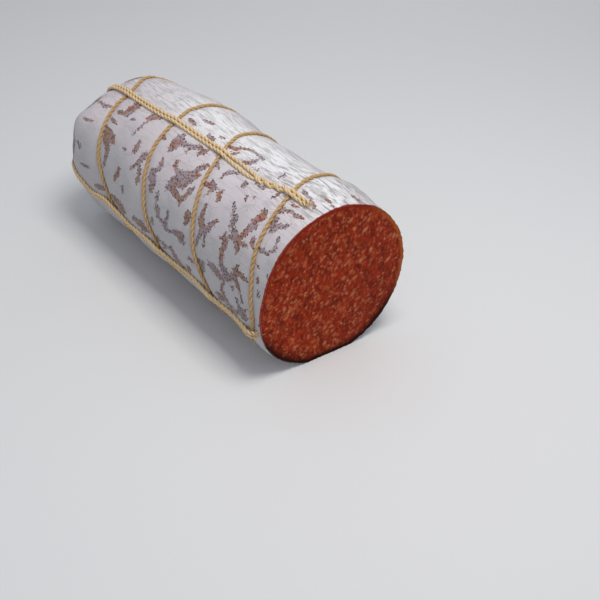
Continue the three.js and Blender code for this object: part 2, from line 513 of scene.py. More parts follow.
class Signal:
    """A shader socket that can be reckoned with."""

    def __init__(self, board: Board, socket: bpy.types.NodeSocket) -> None:
        """Wraps a socket of one of the board's nodes."""
        self.board = board
        self.socket = socket

    def _maths(self, operation: str, first: Signal | float, second: Signal | float) -> Signal:
        """Returns the result of a Math node."""
        return self.board.add("ShaderNodeMath", {"operation": operation}, {0: first, 1: second})

    def __add__(self, other: Signal | float) -> Signal:
        """Returns the sum."""
        return self._maths("ADD", self, other)

    def __sub__(self, other: Signal | float) -> Signal:
        """Returns the difference."""
        return self._maths("SUBTRACT", self, other)

    def __rsub__(self, other: float) -> Signal:
        """Returns a number less this value."""
        return self._maths("SUBTRACT", other, self)

    def __mul__(self, other: Signal | float) -> Signal:
        """Returns the product."""
        return self._maths("MULTIPLY", self, other)

    __radd__ = __add__
    __rmul__ = __mul__

    def shifted(self, amount: Signal, distance: float) -> Signal:
        """Moves this place.

        Args:
            amount: How far, from 0 to 1.
            distance: What 1 stands for, in millimetres.

        Returns:
            The moved place.
        """
        inputs = {0: (distance, -distance, distance), "Scale": amount}
        move = self.board.add("ShaderNodeVectorMath", {"operation": "SCALE"}, inputs)
        return self.board.add("ShaderNodeVectorMath", {"operation": "ADD"}, {0: self, 1: move})

    def step(self, low: float, high: float) -> Signal:
        """Returns 0 below low, 1 above high, and a soft rise between them."""
        inputs = {"Value": self, "From Min": low, "From Max": high}
        return self.board.add("ShaderNodeMapRange", {"interpolation_type": "SMOOTHSTEP"}, inputs)


@dataclass(frozen=True)
class Grit:
    """A shader's noise: its lumps' size in millimetres, its finer layers and how strong they are."""

    size: float | tuple[float, float, float]
    detail: float = 2.0
    rough: float = 0.55


@dataclass(frozen=True)
class Patches:
    """Soft patches where the noise passes a band, and how strong they are."""

    grit: Grit
    band: Band
    strength: float = 1.0

    def on(self, board: Board) -> Signal:
        """Returns the patches' strength at a place."""
        return board.noise(self.grit).step(*self.band) * self.strength


def weighted(parts: Sequence[Signal], weights: Sequence[float]) -> Signal:
    """Returns the sum of signals, each times its weight."""
    first, *others = (part * weight for part, weight in zip(parts, weights))
    return sum(others, first)


class Board:
    """The nodes of one material."""

    def __init__(self, name: str) -> None:
        """Starts a material with no nodes.

        Args:
            name: The material's name.
        """
        self.material = bpy.data.materials.new(name)
        self.material.use_nodes = True
        self.tree = self.material.node_tree
        self.tree.nodes.clear()

    def add(
        self,
        kind: str,
        settings: Mapping[str, object] | None = None,
        inputs: Mapping[str | int, object] | None = None,
        output: str | int = 0,
    ) -> Signal:
        """Adds a node.

        Args:
            kind: The node's type.
            settings: Its settings, which are set first.
            inputs: The value or link of each socket that is used.
            output: The socket to return.

        Returns:
            The node's output.
        """
        node = self.tree.nodes.new(kind)
        for key, value in (settings or {}).items():
            setattr(node, key, value)
        for key, value in (inputs or {}).items():
            if isinstance(value, Signal):
                self.tree.links.new(value.socket, node.inputs[key])
            else:
                node.inputs[key].default_value = value
        return Signal(self, node.outputs[output])

    def place(self, sizes: tuple[float, float, float] = (1, 1, 1)) -> Signal:
        """Reads the place on the object.

        Args:
            sizes: The lengths in millimetres that become 1.

        Returns:
            The place.
        """
        here = self.add("ShaderNodeTexCoord", output="Object")
        scale = [1 / (size * MM) for size in sizes]
        return self.add("ShaderNodeMapping", {}, {"Vector": here, "Scale": scale})

    def mark(self, name: str) -> Signal:
        """Returns the value of one of the piece's marks."""
        return self.add("ShaderNodeAttribute", {"attribute_name": name}, output="Fac")

    def coordinate(self, vector: Signal, axis: str) -> Signal:
        """Returns one of a vector's coordinates."""
        return self.add("ShaderNodeSeparateXYZ", {}, {0: vector}, axis)

    def noise(self, grit: Grit, vector: Signal | None = None) -> Signal:
        """Adds noise.

        Args:
            grit: What the noise is like.
            vector: Where it is read, if not on the object.

        Returns:
            The noise, from 0 to 1.
        """
        even = not isinstance(grit.size, tuple)
        if vector is None:
            vector = self.place((1, 1, 1) if even else grit.size)
        scale = 1 / grit.size if even else 1.0
        inputs = {"Vector": vector, "Scale": scale, "Detail": grit.detail, "Roughness": grit.rough}
        return self.add("ShaderNodeTexNoise", {}, inputs)

    def cells(self, vector: Signal, size: float, feature: str = "F1") -> Signal:
        """Returns the distance in a pattern of irregular cells."""
        inputs = {"Vector": vector, "Scale": 1 / size}
        return self.add("ShaderNodeTexVoronoi", {"feature": feature}, inputs, "Distance")

    def mix(self, amount: Signal, first: Signal | str, second: Signal | str) -> Signal:
        """Returns a colour between two, each of them a signal or a colour code."""
        first, second = (colour(part) if isinstance(part, str) else part for part in (first, second))
        # Sockets 6 and 7 take the node's two colours, and 2 gives the colour that results.
        return self.add("ShaderNodeMix", {"data_type": "RGBA"}, {0: amount, 6: first, 7: second}, 2)

    def layered(self, base: Signal, layers: Sequence[tuple[Signal, Signal | str]]) -> Signal:
        """Lays colours over another in turn.

        Args:
            base: The first colour.
            layers: For each of the others, an amount from 0 to 1 and the colour.

        Returns:
            The colour that results.
        """
        for amount, over in layers:
            base = self.mix(amount, base, over)
        return base

    def bump(self, height: Signal, distance: float) -> Signal:
        """Returns a normal from a height, where a height of 1 stands for a distance in millimetres."""
        return self.add("ShaderNodeBump", {}, {"Height": height, "Distance": distance * MM})

    def surface(self, inputs: Mapping[str, object]) -> bpy.types.Material:
        """Ends the material in a Principled shader.

        Args:
            inputs: The value or link of each socket that is used.

        Returns:
            The material.
        """
        shader = self.add("ShaderNodeBsdfPrincipled", {}, inputs)
        end = self.tree.nodes.new("ShaderNodeOutputMaterial")
        self.tree.links.new(shader.socket, end.inputs["Surface"])
        return self.material


@dataclass(frozen=True)
class Viewpoint:
    """Where the photograph was taken from, worked out from the cut's rim and the long outlines."""

    target: tuple[float, float, float] = (101.0, -19.613, 41.9)
    azimuth: float = 0.883
    elevation: float = 0.655
    distance: float = 445.8
    roll: float = 0.028
    frame_width: float = 600.0
    focal: float = 966.417
    sensor: float = 36.0
    clip_start: float = 0.01

    def axes(self) -> tuple[Vector, Vector, Vector]:
        """Works out how the camera is turned.

        Returns:
            Its right, up and backward directions.
        """
        flat = math.cos(self.elevation)
        east, south = math.sin(self.azimuth) * flat, math.cos(self.azimuth) * flat
        back = Vector((east, -south, math.sin(self.elevation)))
        level = Vector((0, 0, 1)).cross(back).normalized()
        upright = back.cross(level)
        right = math.cos(self.roll) * level + math.sin(self.roll) * upright
        up = math.cos(self.roll) * upright - math.sin(self.roll) * level
        return right, up, back

    def location(self) -> Vector:
        """Returns the camera's place in metres."""
        return (Vector(self.target) + self.axes()[2] * self.distance) * MM

    def look_at(
        self, form: SausageForm, depth: Array, angle: Array, places: Array
    ) -> tuple[Array, Array, Array]:
        """Finds how the camera sees places on the sausage.

        Args:
            form: The sausage's shape.
            depth: The places' depths.
            angle: Their angles.
            places: The places themselves.

        Returns:
            How squarely each place faces the camera, a pixel's size there in millimetres, and the place's
            pixel in the 600 by 600 frame.
        """
        right, up, back = (np.array(axis) for axis in self.axes())
        offset = places - (np.array(self.target) + back * self.distance)
        ahead = -(offset @ back)
        middle = self.frame_width / 2
        x = middle + self.focal * (offset @ right) / ahead
        y = middle - self.focal * (offset @ up) / ahead
        outward = form.raised(depth, angle, np.ones_like(depth)) - form.point(depth, angle)
        sight = -offset / np.linalg.norm(offset, axis=-1, keepdims=True)
        return np.sum(outward * sight, axis=-1), ahead / self.focal, np.stack([x, y], axis=-1)

    def make_camera(self) -> None:
        """Makes the scene's camera."""
        lens = bpy.data.cameras.new("camera")
        lens.sensor_width = self.sensor
        lens.lens = self.focal / self.frame_width * self.sensor
        lens.clip_start = self.clip_start
        camera = bpy.data.objects.new("camera", lens)
        right, up, back = self.axes()
        turn = Matrix((right, up, back)).transposed().to_4x4()
        camera.matrix_world = Matrix.Translation(self.location()) @ turn
        bpy.context.scene.collection.objects.link(camera)
        bpy.context.scene.camera = camera


# Where the photograph shows the bloom rubbed off: lines of (x, y, half width) in its pixels
RUBBED: dict[str, tuple[Line, ...]] = {
    "round the far end": (
        ((100, 102, 1.2), (105, 106, 1.8), (111, 106, 1)),
        ((119, 112, 1.6), (126, 114, 2.8), (132, 109, 3), (138, 105, 2.8), (143, 102, 1.4)),
        ((112, 119, 1.6), (116, 123, 1.2)),
        ((85, 119, 1.2), (92, 121, 1)),
        ((78, 142, 1.2), (80, 148, 1)),
        ((82, 164, 1), (88, 167, 1.2)),
        ((106, 126, 1.2), (109, 131, 2.6), (111, 137, 4.2), (113, 142, 2.2)),
        ((106, 133, 2.4), (106, 141, 3), (107, 147, 2)),
        ((108, 146, 1.6), (106, 153, 1.8), (105, 161, 1.2), (104, 166, 0.6)),
        ((96, 185, 1), (99, 187, 2.2), (105, 189, 1.4)),
    ),
    "between the fourth loop and the third": (
        ((148, 119, 1.8), (155, 116, 3), (161, 117, 2.2), (167, 117, 1)),
        ((149, 120, 1), (142, 126, 0.7), (133, 134, 0.6)),
        ((132, 119, 1.2), (135, 120, 1)),
        ((123, 148, 0.9), (125, 150, 1.1)),
        ((140, 141, 1.2), (137, 147, 2), (134, 152, 1.4)),
        ((146, 154, 2.4), (142, 158, 2.4), (138, 163, 2), (133, 167, 1.2), (130, 169, 0.8)),
        ((139, 166, 1.6), (139, 174, 1.3), (138, 180, 1.8), (136, 184, 0.8)),
        ((119, 168, 1), (117, 175, 1.9), (114, 180, 1.2)),
        ((122, 186, 0.7), (123, 193, 0.8)),
        ((112, 195, 0.9), (117, 201, 1.9), (121, 207, 2), (125, 213, 1)),
        ((134, 218, 1.6), (139, 222, 2.8), (143, 227, 2), (149, 232, 1)),
    ),
    "between the third loop and the second": (
        ((163, 137, 1.2), (165, 139, 1)),
        ((191, 120, 1.8), (195, 124, 1.8)),
        ((204, 120, 0.9), (210, 123, 1.2), (214, 124, 0.7)),
        ((209, 136, 2), (213, 139, 1.7)),
        ((220, 137, 0.8), (224, 138, 0.9)),
        ((184, 135, 1.6), (180, 139, 4.2), (176, 143, 4.4), (173, 147, 3.4), (168, 152, 1)),
        ((184, 144, 3), (188, 146, 2), (193, 147, 2.4), (199, 147, 2.2), (203, 150, 1.6)),
        ((198, 154, 1.6), (203, 153, 1.6), (209, 150, 1)),
        ((186, 152, 0.9), (189, 149, 0.7)),
        ((179, 160, 0.8), (175, 165, 1.4), (176, 171, 1.6)),
        ((179, 173, 3.4), (186, 176, 5.2), (193, 176, 4.4), (199, 175, 2)),
        ((175, 180, 4.4), (182, 184, 4.8), (189, 181, 3)),
        ((171, 183, 2.8), (168, 187, 1.4), (166, 190, 0.8)),
        ((173, 188, 3.4), (176, 195, 2.8), (180, 200, 2.4), (179, 205, 1)),
        ((194, 188, 1.2), (189, 192, 2), (184, 197, 1.8), (181, 200, 1.4)),
        ((196, 171, 2.2), (202, 168, 2.6), (208, 165, 1.4)),
        ((163, 158, 1.2), (161, 165, 2), (159, 169, 1.8), (154, 171, 2.2)),
        ((153, 170, 2.4), (152, 177, 3.4), (153, 182, 3), (151, 189, 2.2), (150, 193, 0.8)),
        ((158, 192, 1), (157, 197, 1.3), (156, 202, 0.7)),
        ((156, 206, 1.4), (158, 211, 2.1), (158, 216, 1.2), (162, 221, 0.9)),
        ((168, 211, 0.6), (167, 218, 1.2), (164, 223, 2), (166, 229, 1.4), (170, 231, 1.4)),
        ((151, 217, 0.8), (153, 224, 0.6)),
        ((175, 232, 2), (180, 235, 2.9), (181, 240, 2.2), (184, 244, 1.2)),
        ((156, 237, 1.5), (160, 241, 1)),
        ((163, 243, 1.1), (166, 248, 1.4)),
        ((170, 247, 1.2), (174, 254, 1.2), (178, 261, 1.1), (184, 268, 0.9)),
        ((187, 266, 1.2), (190, 270, 1.4)),
        ((188, 214, 3.1), (187, 220, 2.8), (185, 225, 1)),
        ((189, 258, 1.2), (193, 262, 0.8)),
    ),
    "beside the second loop": (
        ((217, 163, 1.6), (218, 168, 0.9)),
        ((203, 183, 2.2), (209, 185, 2.8), (213, 188, 2.8), (217, 188, 1)),
        ((213, 181, 1.2), (215, 185, 1.4)),
        ((212, 190, 0.9), (205, 196, 0.5)),
        ((223, 190, 0.8), (219, 194, 2), (219, 198, 2), (217, 202, 0.9)),
        ((221, 178, 0.6), (224, 175, 1.2), (230, 172, 1.6), (237, 173, 1.3), (240, 172, 0.8)),
        ((207, 204, 0.7), (204, 210, 1.6), (202, 216, 2.2), (201, 222, 2.8), (203, 229, 3)),
        ((216, 221, 2), (211, 225, 2.4), (206, 230, 3), (201, 231, 2.6)),
        ((201, 232, 2.2), (198, 239, 1.5), (196, 245, 0.6)),
        ((205, 234, 1), (204, 241, 0.9), (203, 247, 0.5)),
        ((197, 260, 2.2), (201, 264, 2.9), (203, 271, 1.3)),
        ((217, 292, 1.2), (221, 297, 2.4), (225, 301, 1.2)),
    ),
    "between the second loop and the first": (
        (
            (229, 147, 1.2), (235, 149, 1.5), (242, 148, 0.8), (250, 150, 0.9), (257, 154, 0.8),
            (264, 160, 0.8),
        ),
        ((231, 154, 0.8), (239, 153, 0.7)),
        ((243, 162, 1.5), (249, 163, 2), (256, 161, 1.4), (260, 158, 0.8)),
        ((256, 170, 1), (258, 170, 1)),
        ((243, 186, 2.4), (246, 183, 2)),
        ((257, 184, 1.1), (261, 188, 1.7), (266, 187, 0.9)),
        ((245, 200, 1.2), (247, 197, 1)),
        ((254, 197, 1), (256, 197, 0.8)),
        ((279, 194, 1.4), (272, 198, 0.5)),
        ((278, 178, 0.8), (285, 175, 0.9)),
        ((234, 203, 1.2), (234, 208, 1.3), (233, 214, 0.9)),
        ((237, 216, 1.4), (234, 219, 3), (233, 223, 2.6), (229, 228, 0.8)),
        ((265, 212, 2.8), (262, 217, 4), (256, 220, 2.5), (253, 226, 4), (248, 230, 2.9), (241, 237, 2.3)),
        ((234, 232, 3.3), (236, 237, 3.1), (238, 242, 3.3), (237, 248, 2.1), (236, 253, 1.2)),
        ((240, 243, 2.4), (246, 246, 1.7)),
        ((229, 236, 1.5), (233, 239, 2)),
        ((226, 233, 1.2), (223, 236, 1.2)),
        ((220, 237, 1.4), (225, 239, 2.9), (225, 244, 2.7), (222, 250, 2.3), (221, 257, 1.9), (221, 263, 2)),
        ((221, 264, 2), (224, 270, 2.3), (227, 277, 3)),
        ((223, 279, 2.2), (230, 278, 3.6), (236, 275, 3.4), (235, 270, 2.2), (238, 266, 1)),
        ((208, 261, 0.6), (212, 267, 2.3), (216, 271, 2.1), (220, 276, 2), (225, 279, 2)),
        ((239, 273, 2), (243, 278, 1.9), (247, 281, 0.8)),
        ((235, 279, 2), (238, 286, 1.5), (240, 292, 0.7)),
        ((232, 287, 0.8), (233, 290, 0.6)),
        (
            (223, 283, 1.6), (222, 290, 1.3), (225, 298, 1.3), (229, 305, 1.3), (233, 310, 1.1),
            (238, 313, 1.6),
        ),
        ((236, 298, 0.7), (239, 306, 1.1), (241, 311, 2), (244, 316, 2.3), (247, 320, 1.2)),
        ((240, 293, 0.5), (243, 303, 0.8)),
        ((237, 311, 2), (243, 312, 2.5), (246, 310, 1)),
        ((253, 239, 2.1), (252, 246, 1.7), (253, 250, 0.8)),
    ),
    "between the first loop and the cut": (
        ((278, 212, 1.8), (283, 210, 2), (288, 211, 1.6), (292, 212, 1.4), (295, 216, 2), (303, 218, 1)),
        ((274, 222, 2.9), (277, 219, 2.3)),
        ((271, 226, 2.6), (277, 227, 3.3), (284, 227, 2), (290, 225, 0.7)),
        ((271, 232, 1.2), (276, 230, 1.4)),
        ((260, 250, 2.3), (263, 250, 2), (265, 254, 1.3), (270, 252, 1.5), (274, 250, 1.9), (276, 245, 0.8)),
        ((277, 242, 0.6), (279, 237, 0.7)),
        ((293, 205, 1.5), (296, 206, 1), (299, 207, 0.7)),
        ((303, 191, 1.8), (307, 195, 1.3)),
        ((315, 208, 1.2), (313, 203, 1.2), (310, 199, 0.8)),
        ((325, 199, 1), (330, 203, 1.2), (333, 206, 0.8)),
        ((352, 196, 0.6), (358, 200, 1.1), (362, 205, 0.8)),
        ((257, 265, 0.9), (258, 268, 0.7)),
        ((258, 277, 1), (258, 283, 0.9)),
        ((258, 292, 0.9), (258, 297, 0.7)),
        ((267, 276, 0.9), (269, 279, 0.8)),
        ((259, 325, 0.8), (262, 322, 0.9)),
        ((266, 343, 1.2), (270, 345, 0.8)),
    ),
}


@dataclass
class Bloom:
    """The pale bloom on the casing, and where it is rubbed off."""

    form: SausageForm
    view: Viewpoint
    outside: float = -6.0
    far_outside: float = -30.0
    facing_edge: float = 0.1
    band_depth: float = 177.0
    band_width: float = 0.5
    band_slope: float = 0.4
    band_breaks: Mottle = Mottle(2.2, 11, shift=6.0)
    least_radius: float = 8.0
    hidden_count: int = 300
    hidden_ends: Pair = (3.0, 6.0)
    headings: Pair = (0.35, 0.7)
    heading_spread: float = 0.3
    heading_turn: float = 0.75
    widths: tuple[float, ...] = (0.5, 0.8, 1.2, 1.9)
    width_odds: tuple[float, ...] = (0.2, 0.3, 0.3, 0.2)
    width_change: Band = (0.6, 1.4)
    end_width: float = 0.4
    step_counts: tuple[int, int] = (2, 6)
    step_along: float = 3.2
    step_around: float = 4.4
    walk_ends: Pair = (1.0, 3.0)

    def hidden_strokes(self) -> list[Line]:
        """Scatters strokes like the photograph's over the side that it doesn't show.

        Returns:
            The strokes, each as points of (depth, angle, half width).
        """
        rng = np.random.default_rng(SEED)
        strokes = []
        for _ in range(self.hidden_count):
            depth = rng.uniform(self.hidden_ends[0], self.form.length - self.hidden_ends[1])
            angle = rng.uniform(0, 360)
            heading = rng.choice(self.headings) * math.pi + rng.normal(0, self.heading_spread)
            width = rng.choice(self.widths, p=self.width_odds)
            points = [(depth, angle, self.end_width * width)]
            steps = rng.integers(*self.step_counts)
            for step in range(steps):
                heading += rng.normal(0, self.heading_turn)
                ahead = depth + self.step_along * math.cos(heading)
                depth = float(np.clip(ahead, self.walk_ends[0], self.form.length - self.walk_ends[1]))
                angle = angle + self.step_around * math.sin(heading)
                change = rng.uniform(*self.width_change) if step < steps - 1 else self.end_width
                points.append((depth, angle, width * change))
            strokes.append(tuple(points))
        return strokes

    def bareness(self, depth: Array, angle: Array, places: Array) -> Array:
        """Measures how far places lie inside the bare patches.

        Args:
            depth: The places' depths.
            angle: Their angles.
            places: The places themselves.

        Returns:
            The distance in millimetres to the nearest patch's edge, negative outside it.
        """
        facing, pixel_size, pixels = self.view.look_at(self.form, depth, angle, places)
        seen = np.full(depth.shape, self.far_outside)
        for lines in RUBBED.values():
            for line in lines:
                seen = np.maximum(seen, stroke_depth(pixels, np.array(line)))
        seen = np.maximum(seen * pixel_size, self.outside)
        hidden = np.full(depth.shape, self.outside)
        across = np.maximum(self.form.full_radius(depth, angle), self.form.tail_radius)
        travel = self.form.travel(depth)
        for stroke in self.hidden_strokes():
            line = np.array(stroke)
            line_travel = self.form.travel(line[:, 0])
            sweep = np.radians(turned(angle - line[0, 1])) * across
            flat = np.stack([travel - line_travel[0], sweep], axis=-1)
            radius = max(float(self.form.full_radius(line[:1, 0], line[:1, 1])[0]), self.least_radius)
            line[:, 1] = np.radians(line[:, 1] - line[0, 1]) * radius
            line[:, 0] = line_travel - line_travel[0]
            hidden = np.maximum(hidden, stroke_depth(flat, line))
        turned_away = 1 - eased(facing, -self.facing_edge, self.facing_edge)
        strokes = np.maximum(seen + self.outside * turned_away, hidden + self.outside * (1 - turned_away))
        from_band = np.abs(depth - self.band_depth)
        band = self.band_width + self.band_breaks.at(places) - self.band_slope * from_band
        return np.maximum(strokes, band)


def stroke_depth(places: Array, line: Array) -> Array:
    """Measures how far places in a plane lie inside a stroke.

    Args:
        places: The places, with two coordinates last.
        line: The stroke's points as rows of two coordinates and a half width.

    Returns:
        The distance to the stroke's edge, negative outside it.
    """
    least = 1e-9
    inside = np.full(places.shape[:-1], -np.inf)
    for start, end in zip(line, line[1:]):
        run = end[:2] - start[:2]
        offset = places - start[:2]
        t = np.clip((offset @ run) / max(float(run @ run), least), 0, 1)
        distance = np.linalg.norm(offset - t[..., None] * run, axis=-1)
        inside = np.maximum(inside, start[2] + (end[2] - start[2]) * t - distance)
    return inside


class Tone(Enum):
    """The twine's shade: its colour where it stands out, where it wears, and the darker colour between its
    plies, which is painted shade.
    """

    LIGHT = ("f0d8b2", "d8b685", "8f6635")
    OCHRE = ("d2b184", "ad8754", "5f421d")


@dataclass(frozen=True)
class CutEdge:
    """The colours along the cut's rim: in general, low down, and on its far side. The dark colour low down
    is partly the dried rim and partly painted shade.
    """

    general: str
    low: str
    side: str
    low_band: Band
    side_band: Band = (14.0, 34.0)

    def shade(self, board: Board) -> tuple[Signal, Signal]:
        """Colours the rim.

        Args:
            board: The material in the making.

        Returns:
            The rim's colour, and how low down a place is, from 0 to 1.
        """
        here = board.place()
        side = board.coordinate(here, "Y").step(*self.side_band)
        low = 1 - board.coordinate(here, "Z").step(*self.low_band)
        rim = board.mix(low, self.general, self.low)
        return board.mix(side * (1 - low), rim, self.side), low


@dataclass(frozen=True)
class CasingFinish:
    """Pale bloom over brown casing, with the bloom rubbed off in patches."""

    # Painted highlight: the whitest bloom, laid along the lit top of the casing
    bloom_highlight: str = "eae9ec"
    bloom_lilac: str = "cfc6cb"
    # Painted shade: the greyer bloom away from the top
    bloom_shaded_grey: str = "b6b4b7"
    # Thin bloom in streaks, smudges, specks and cracks; the same grey is also painted shade in a band on the
    # upper side
    bloom_thin_and_shade: str = "9d9898"
    bare_grey: str = "a6959a"
    bare_brown: str = "a27f70"
    bare_red: str = "ad694e"
    # Painted shade: the darker bare casing away from the top
    bare_low_shaded: str = "7a6763"
    bare_dark: str = "382222"
    # The lip is near-black low down, partly dried rim and partly painted shade
    lip: CutEdge = CutEdge("97301c", "2c0b04", "a85a24", (14.0, 40.0))
    fine: Grit = Grit(0.55, 3.0, 0.7)
    ragged: Grit = Grit(1.5, 4.0, 0.75)
    wandering: Grit = Grit(3.2)
    patch_reaches: tuple[float, float, float] = (0.9, 1.7, 0.6)
    patch_margin: float = 0.27
    patch_edge: Band = (-0.1, 0.1)
    dot_size: float = 1.2
    dot_edge: Band = (0.2, 0.56)
    dot_middle: float = 0.4
    dot_places: Patches = Patches(Grit(3.5), (0.15, 0.4), 0.85)
    brown: Patches = Patches(Grit(13.0, 1.0), (0.42, 0.6))
    low_share: float = 0.5
    red_places: Grit = Grit(8.0)
    red_fall: float = 0.14
    red_band: Band = (0.52, 0.68)
    red_share: float = 0.8
    cloud: Grit = Grit(20.0)
    cloud_reach: float = 1.4
    cloud_band: Band = (0.1, 0.9)
    smudges: Patches = Patches(Grit((13, 5, 5), 3.0, 0.6), (0.5, 0.66), 0.55)
    drawn: Grit = Grit((9, 1.1, 1.1), 3.0, 0.65)
    drawn_band: Band = (0.52, 0.64)
    drawn_rise: float = 0.05
    # Painted shade: how much the band of thin grey bloom darkens the upper side
    shade_band_share: float = 0.6
    specks: Patches = Patches(Grit(1.1, 4.0, 0.75), (0.54, 0.74), 0.4)
    warp: Grit = Grit(5.0)
    warp_reach: float = 3.5
    crack_size: float = 9.0
    crack_band: Band = (0.004, 0.03)
    crack_places: Patches = Patches(Grit(12.0), (0.45, 0.6))
    crack_share: float = 0.35
    lip_reach: float = 0.9
    lip_band: Band = (0.35, 0.6)
    heights: tuple[float, float, float, float] = (0.45, 0.2, 0.9, -0.3)
    bump_height: float = 0.24
    roughness: Pair = (0.36, 0.3)
    specular: float = 0.45

    def make(self) -> bpy.types.Material:
        """Makes the finish.

        Returns:
            The casing's material.
        """
        board = Board("casing_bloom")
        fine = board.noise(self.fine)
        ragged = board.noise(self.ragged) - 0.5
        dots = 1 - board.cells(board.place(), self.dot_size).step(*self.dot_edge)
        wandering = board.noise(self.wandering) - 0.5
        frayed = weighted((wandering, ragged, dots - self.dot_middle), self.patch_reaches)
        bare = (board.mark("bare") + frayed + self.patch_margin).step(*self.patch_edge)
        streaks = board.mark("streaks")
        drawn = board.noise(self.drawn)
        crack = self._cracks(board)
        base = board.mix(bare, self._bloom(board, streaks, drawn, crack), self._skin(board, dots))
        # The lip, near-black low down as partly painted shade
        at_lip = (board.mark("lip") + ragged * self.lip_reach).step(*self.lip_band)
        base = board.mix(at_lip, base, self.lip.shade(board)[0])
        height = weighted((1 - bare, fine, drawn * streaks, crack), self.heights)
        return board.surface(
            {
                "Base Color": base,
                "Roughness": self.roughness[0] + self.roughness[1] * fine,
                "Normal": board.bump(height, self.bump_height),
                "Specular IOR Level": self.specular,
            }
        )

    def _cracks(self, board: Board) -> Signal:
        """Draws fine cracks in the bloom.

        Args:
            board: The material in the making.

        Returns:
            Where they are, from 0 to 1.
        """
        warped = board.place().shifted(board.noise(self.warp), self.warp_reach)
        lines = board.cells(warped, self.crack_size, "DISTANCE_TO_EDGE")
        return (1 - lines.step(*self.crack_band)) * self.crack_places.on(board)

    def _bloom(self, board: Board, streaks: Signal, drawn: Signal, crack: Signal) -> Signal:
        """Colours the bloom, with a painted highlight along the top and painted shade away from the top and
        in a band on the upper side; the bloom is thin in streaks, smudges, specks and cracks.

        Args:
            board: The material in the making.
            streaks: How streaky a place is.
            drawn: Noise drawn out lengthwise.
            crack: Where cracks are.

        Returns:
            The bloom's colour.
        """
        low = (board.mark("low") + (board.noise(self.cloud) - 0.5) * self.cloud_reach).step(*self.cloud_band)
        thin = (
            self.smudges.on(board) * streaks,
            (drawn + streaks * self.drawn_rise).step(*self.drawn_band) * streaks,
            # Painted shade: a band of thin grey bloom on the upper side, where the light falls off
            board.mark("worn") * (drawn * self.shade_band_share + self.shade_band_share),
            self.specks.on(board),
            crack * self.crack_share,
        )
        # Painted shade: the bloom greyer away from the top
        bloom = board.mix(low, self.bloom_lilac, self.bloom_shaded_grey)
        # Painted highlight: whiter bloom along the lit top
        bloom = board.mix(board.mark("crown"), bloom, self.bloom_highlight)
        return board.layered(bloom, [(amount, self.bloom_thin_and_shade) for amount in thin])

    def _skin(self, board: Board, dots: Signal) -> Signal:
        """Colours the bare casing, with a net of dark dots.

        Args:
            board: The material in the making.
            dots: Where the dots are.

        Returns:
            The bare casing's colour.
        """
        low = board.mark("low")
        red = (board.noise(self.red_places) - low * self.red_fall).step(*self.red_band)
        layers = (
            # Painted shade: the bare casing darker away from the top
            (low * self.low_share, self.bare_low_shaded),
            (red * self.red_share, self.bare_red),
            (dots * self.dot_places.on(board), self.bare_dark),
        )
        return board.layered(board.mix(self.brown.on(board), self.bare_grey, self.bare_brown), layers)


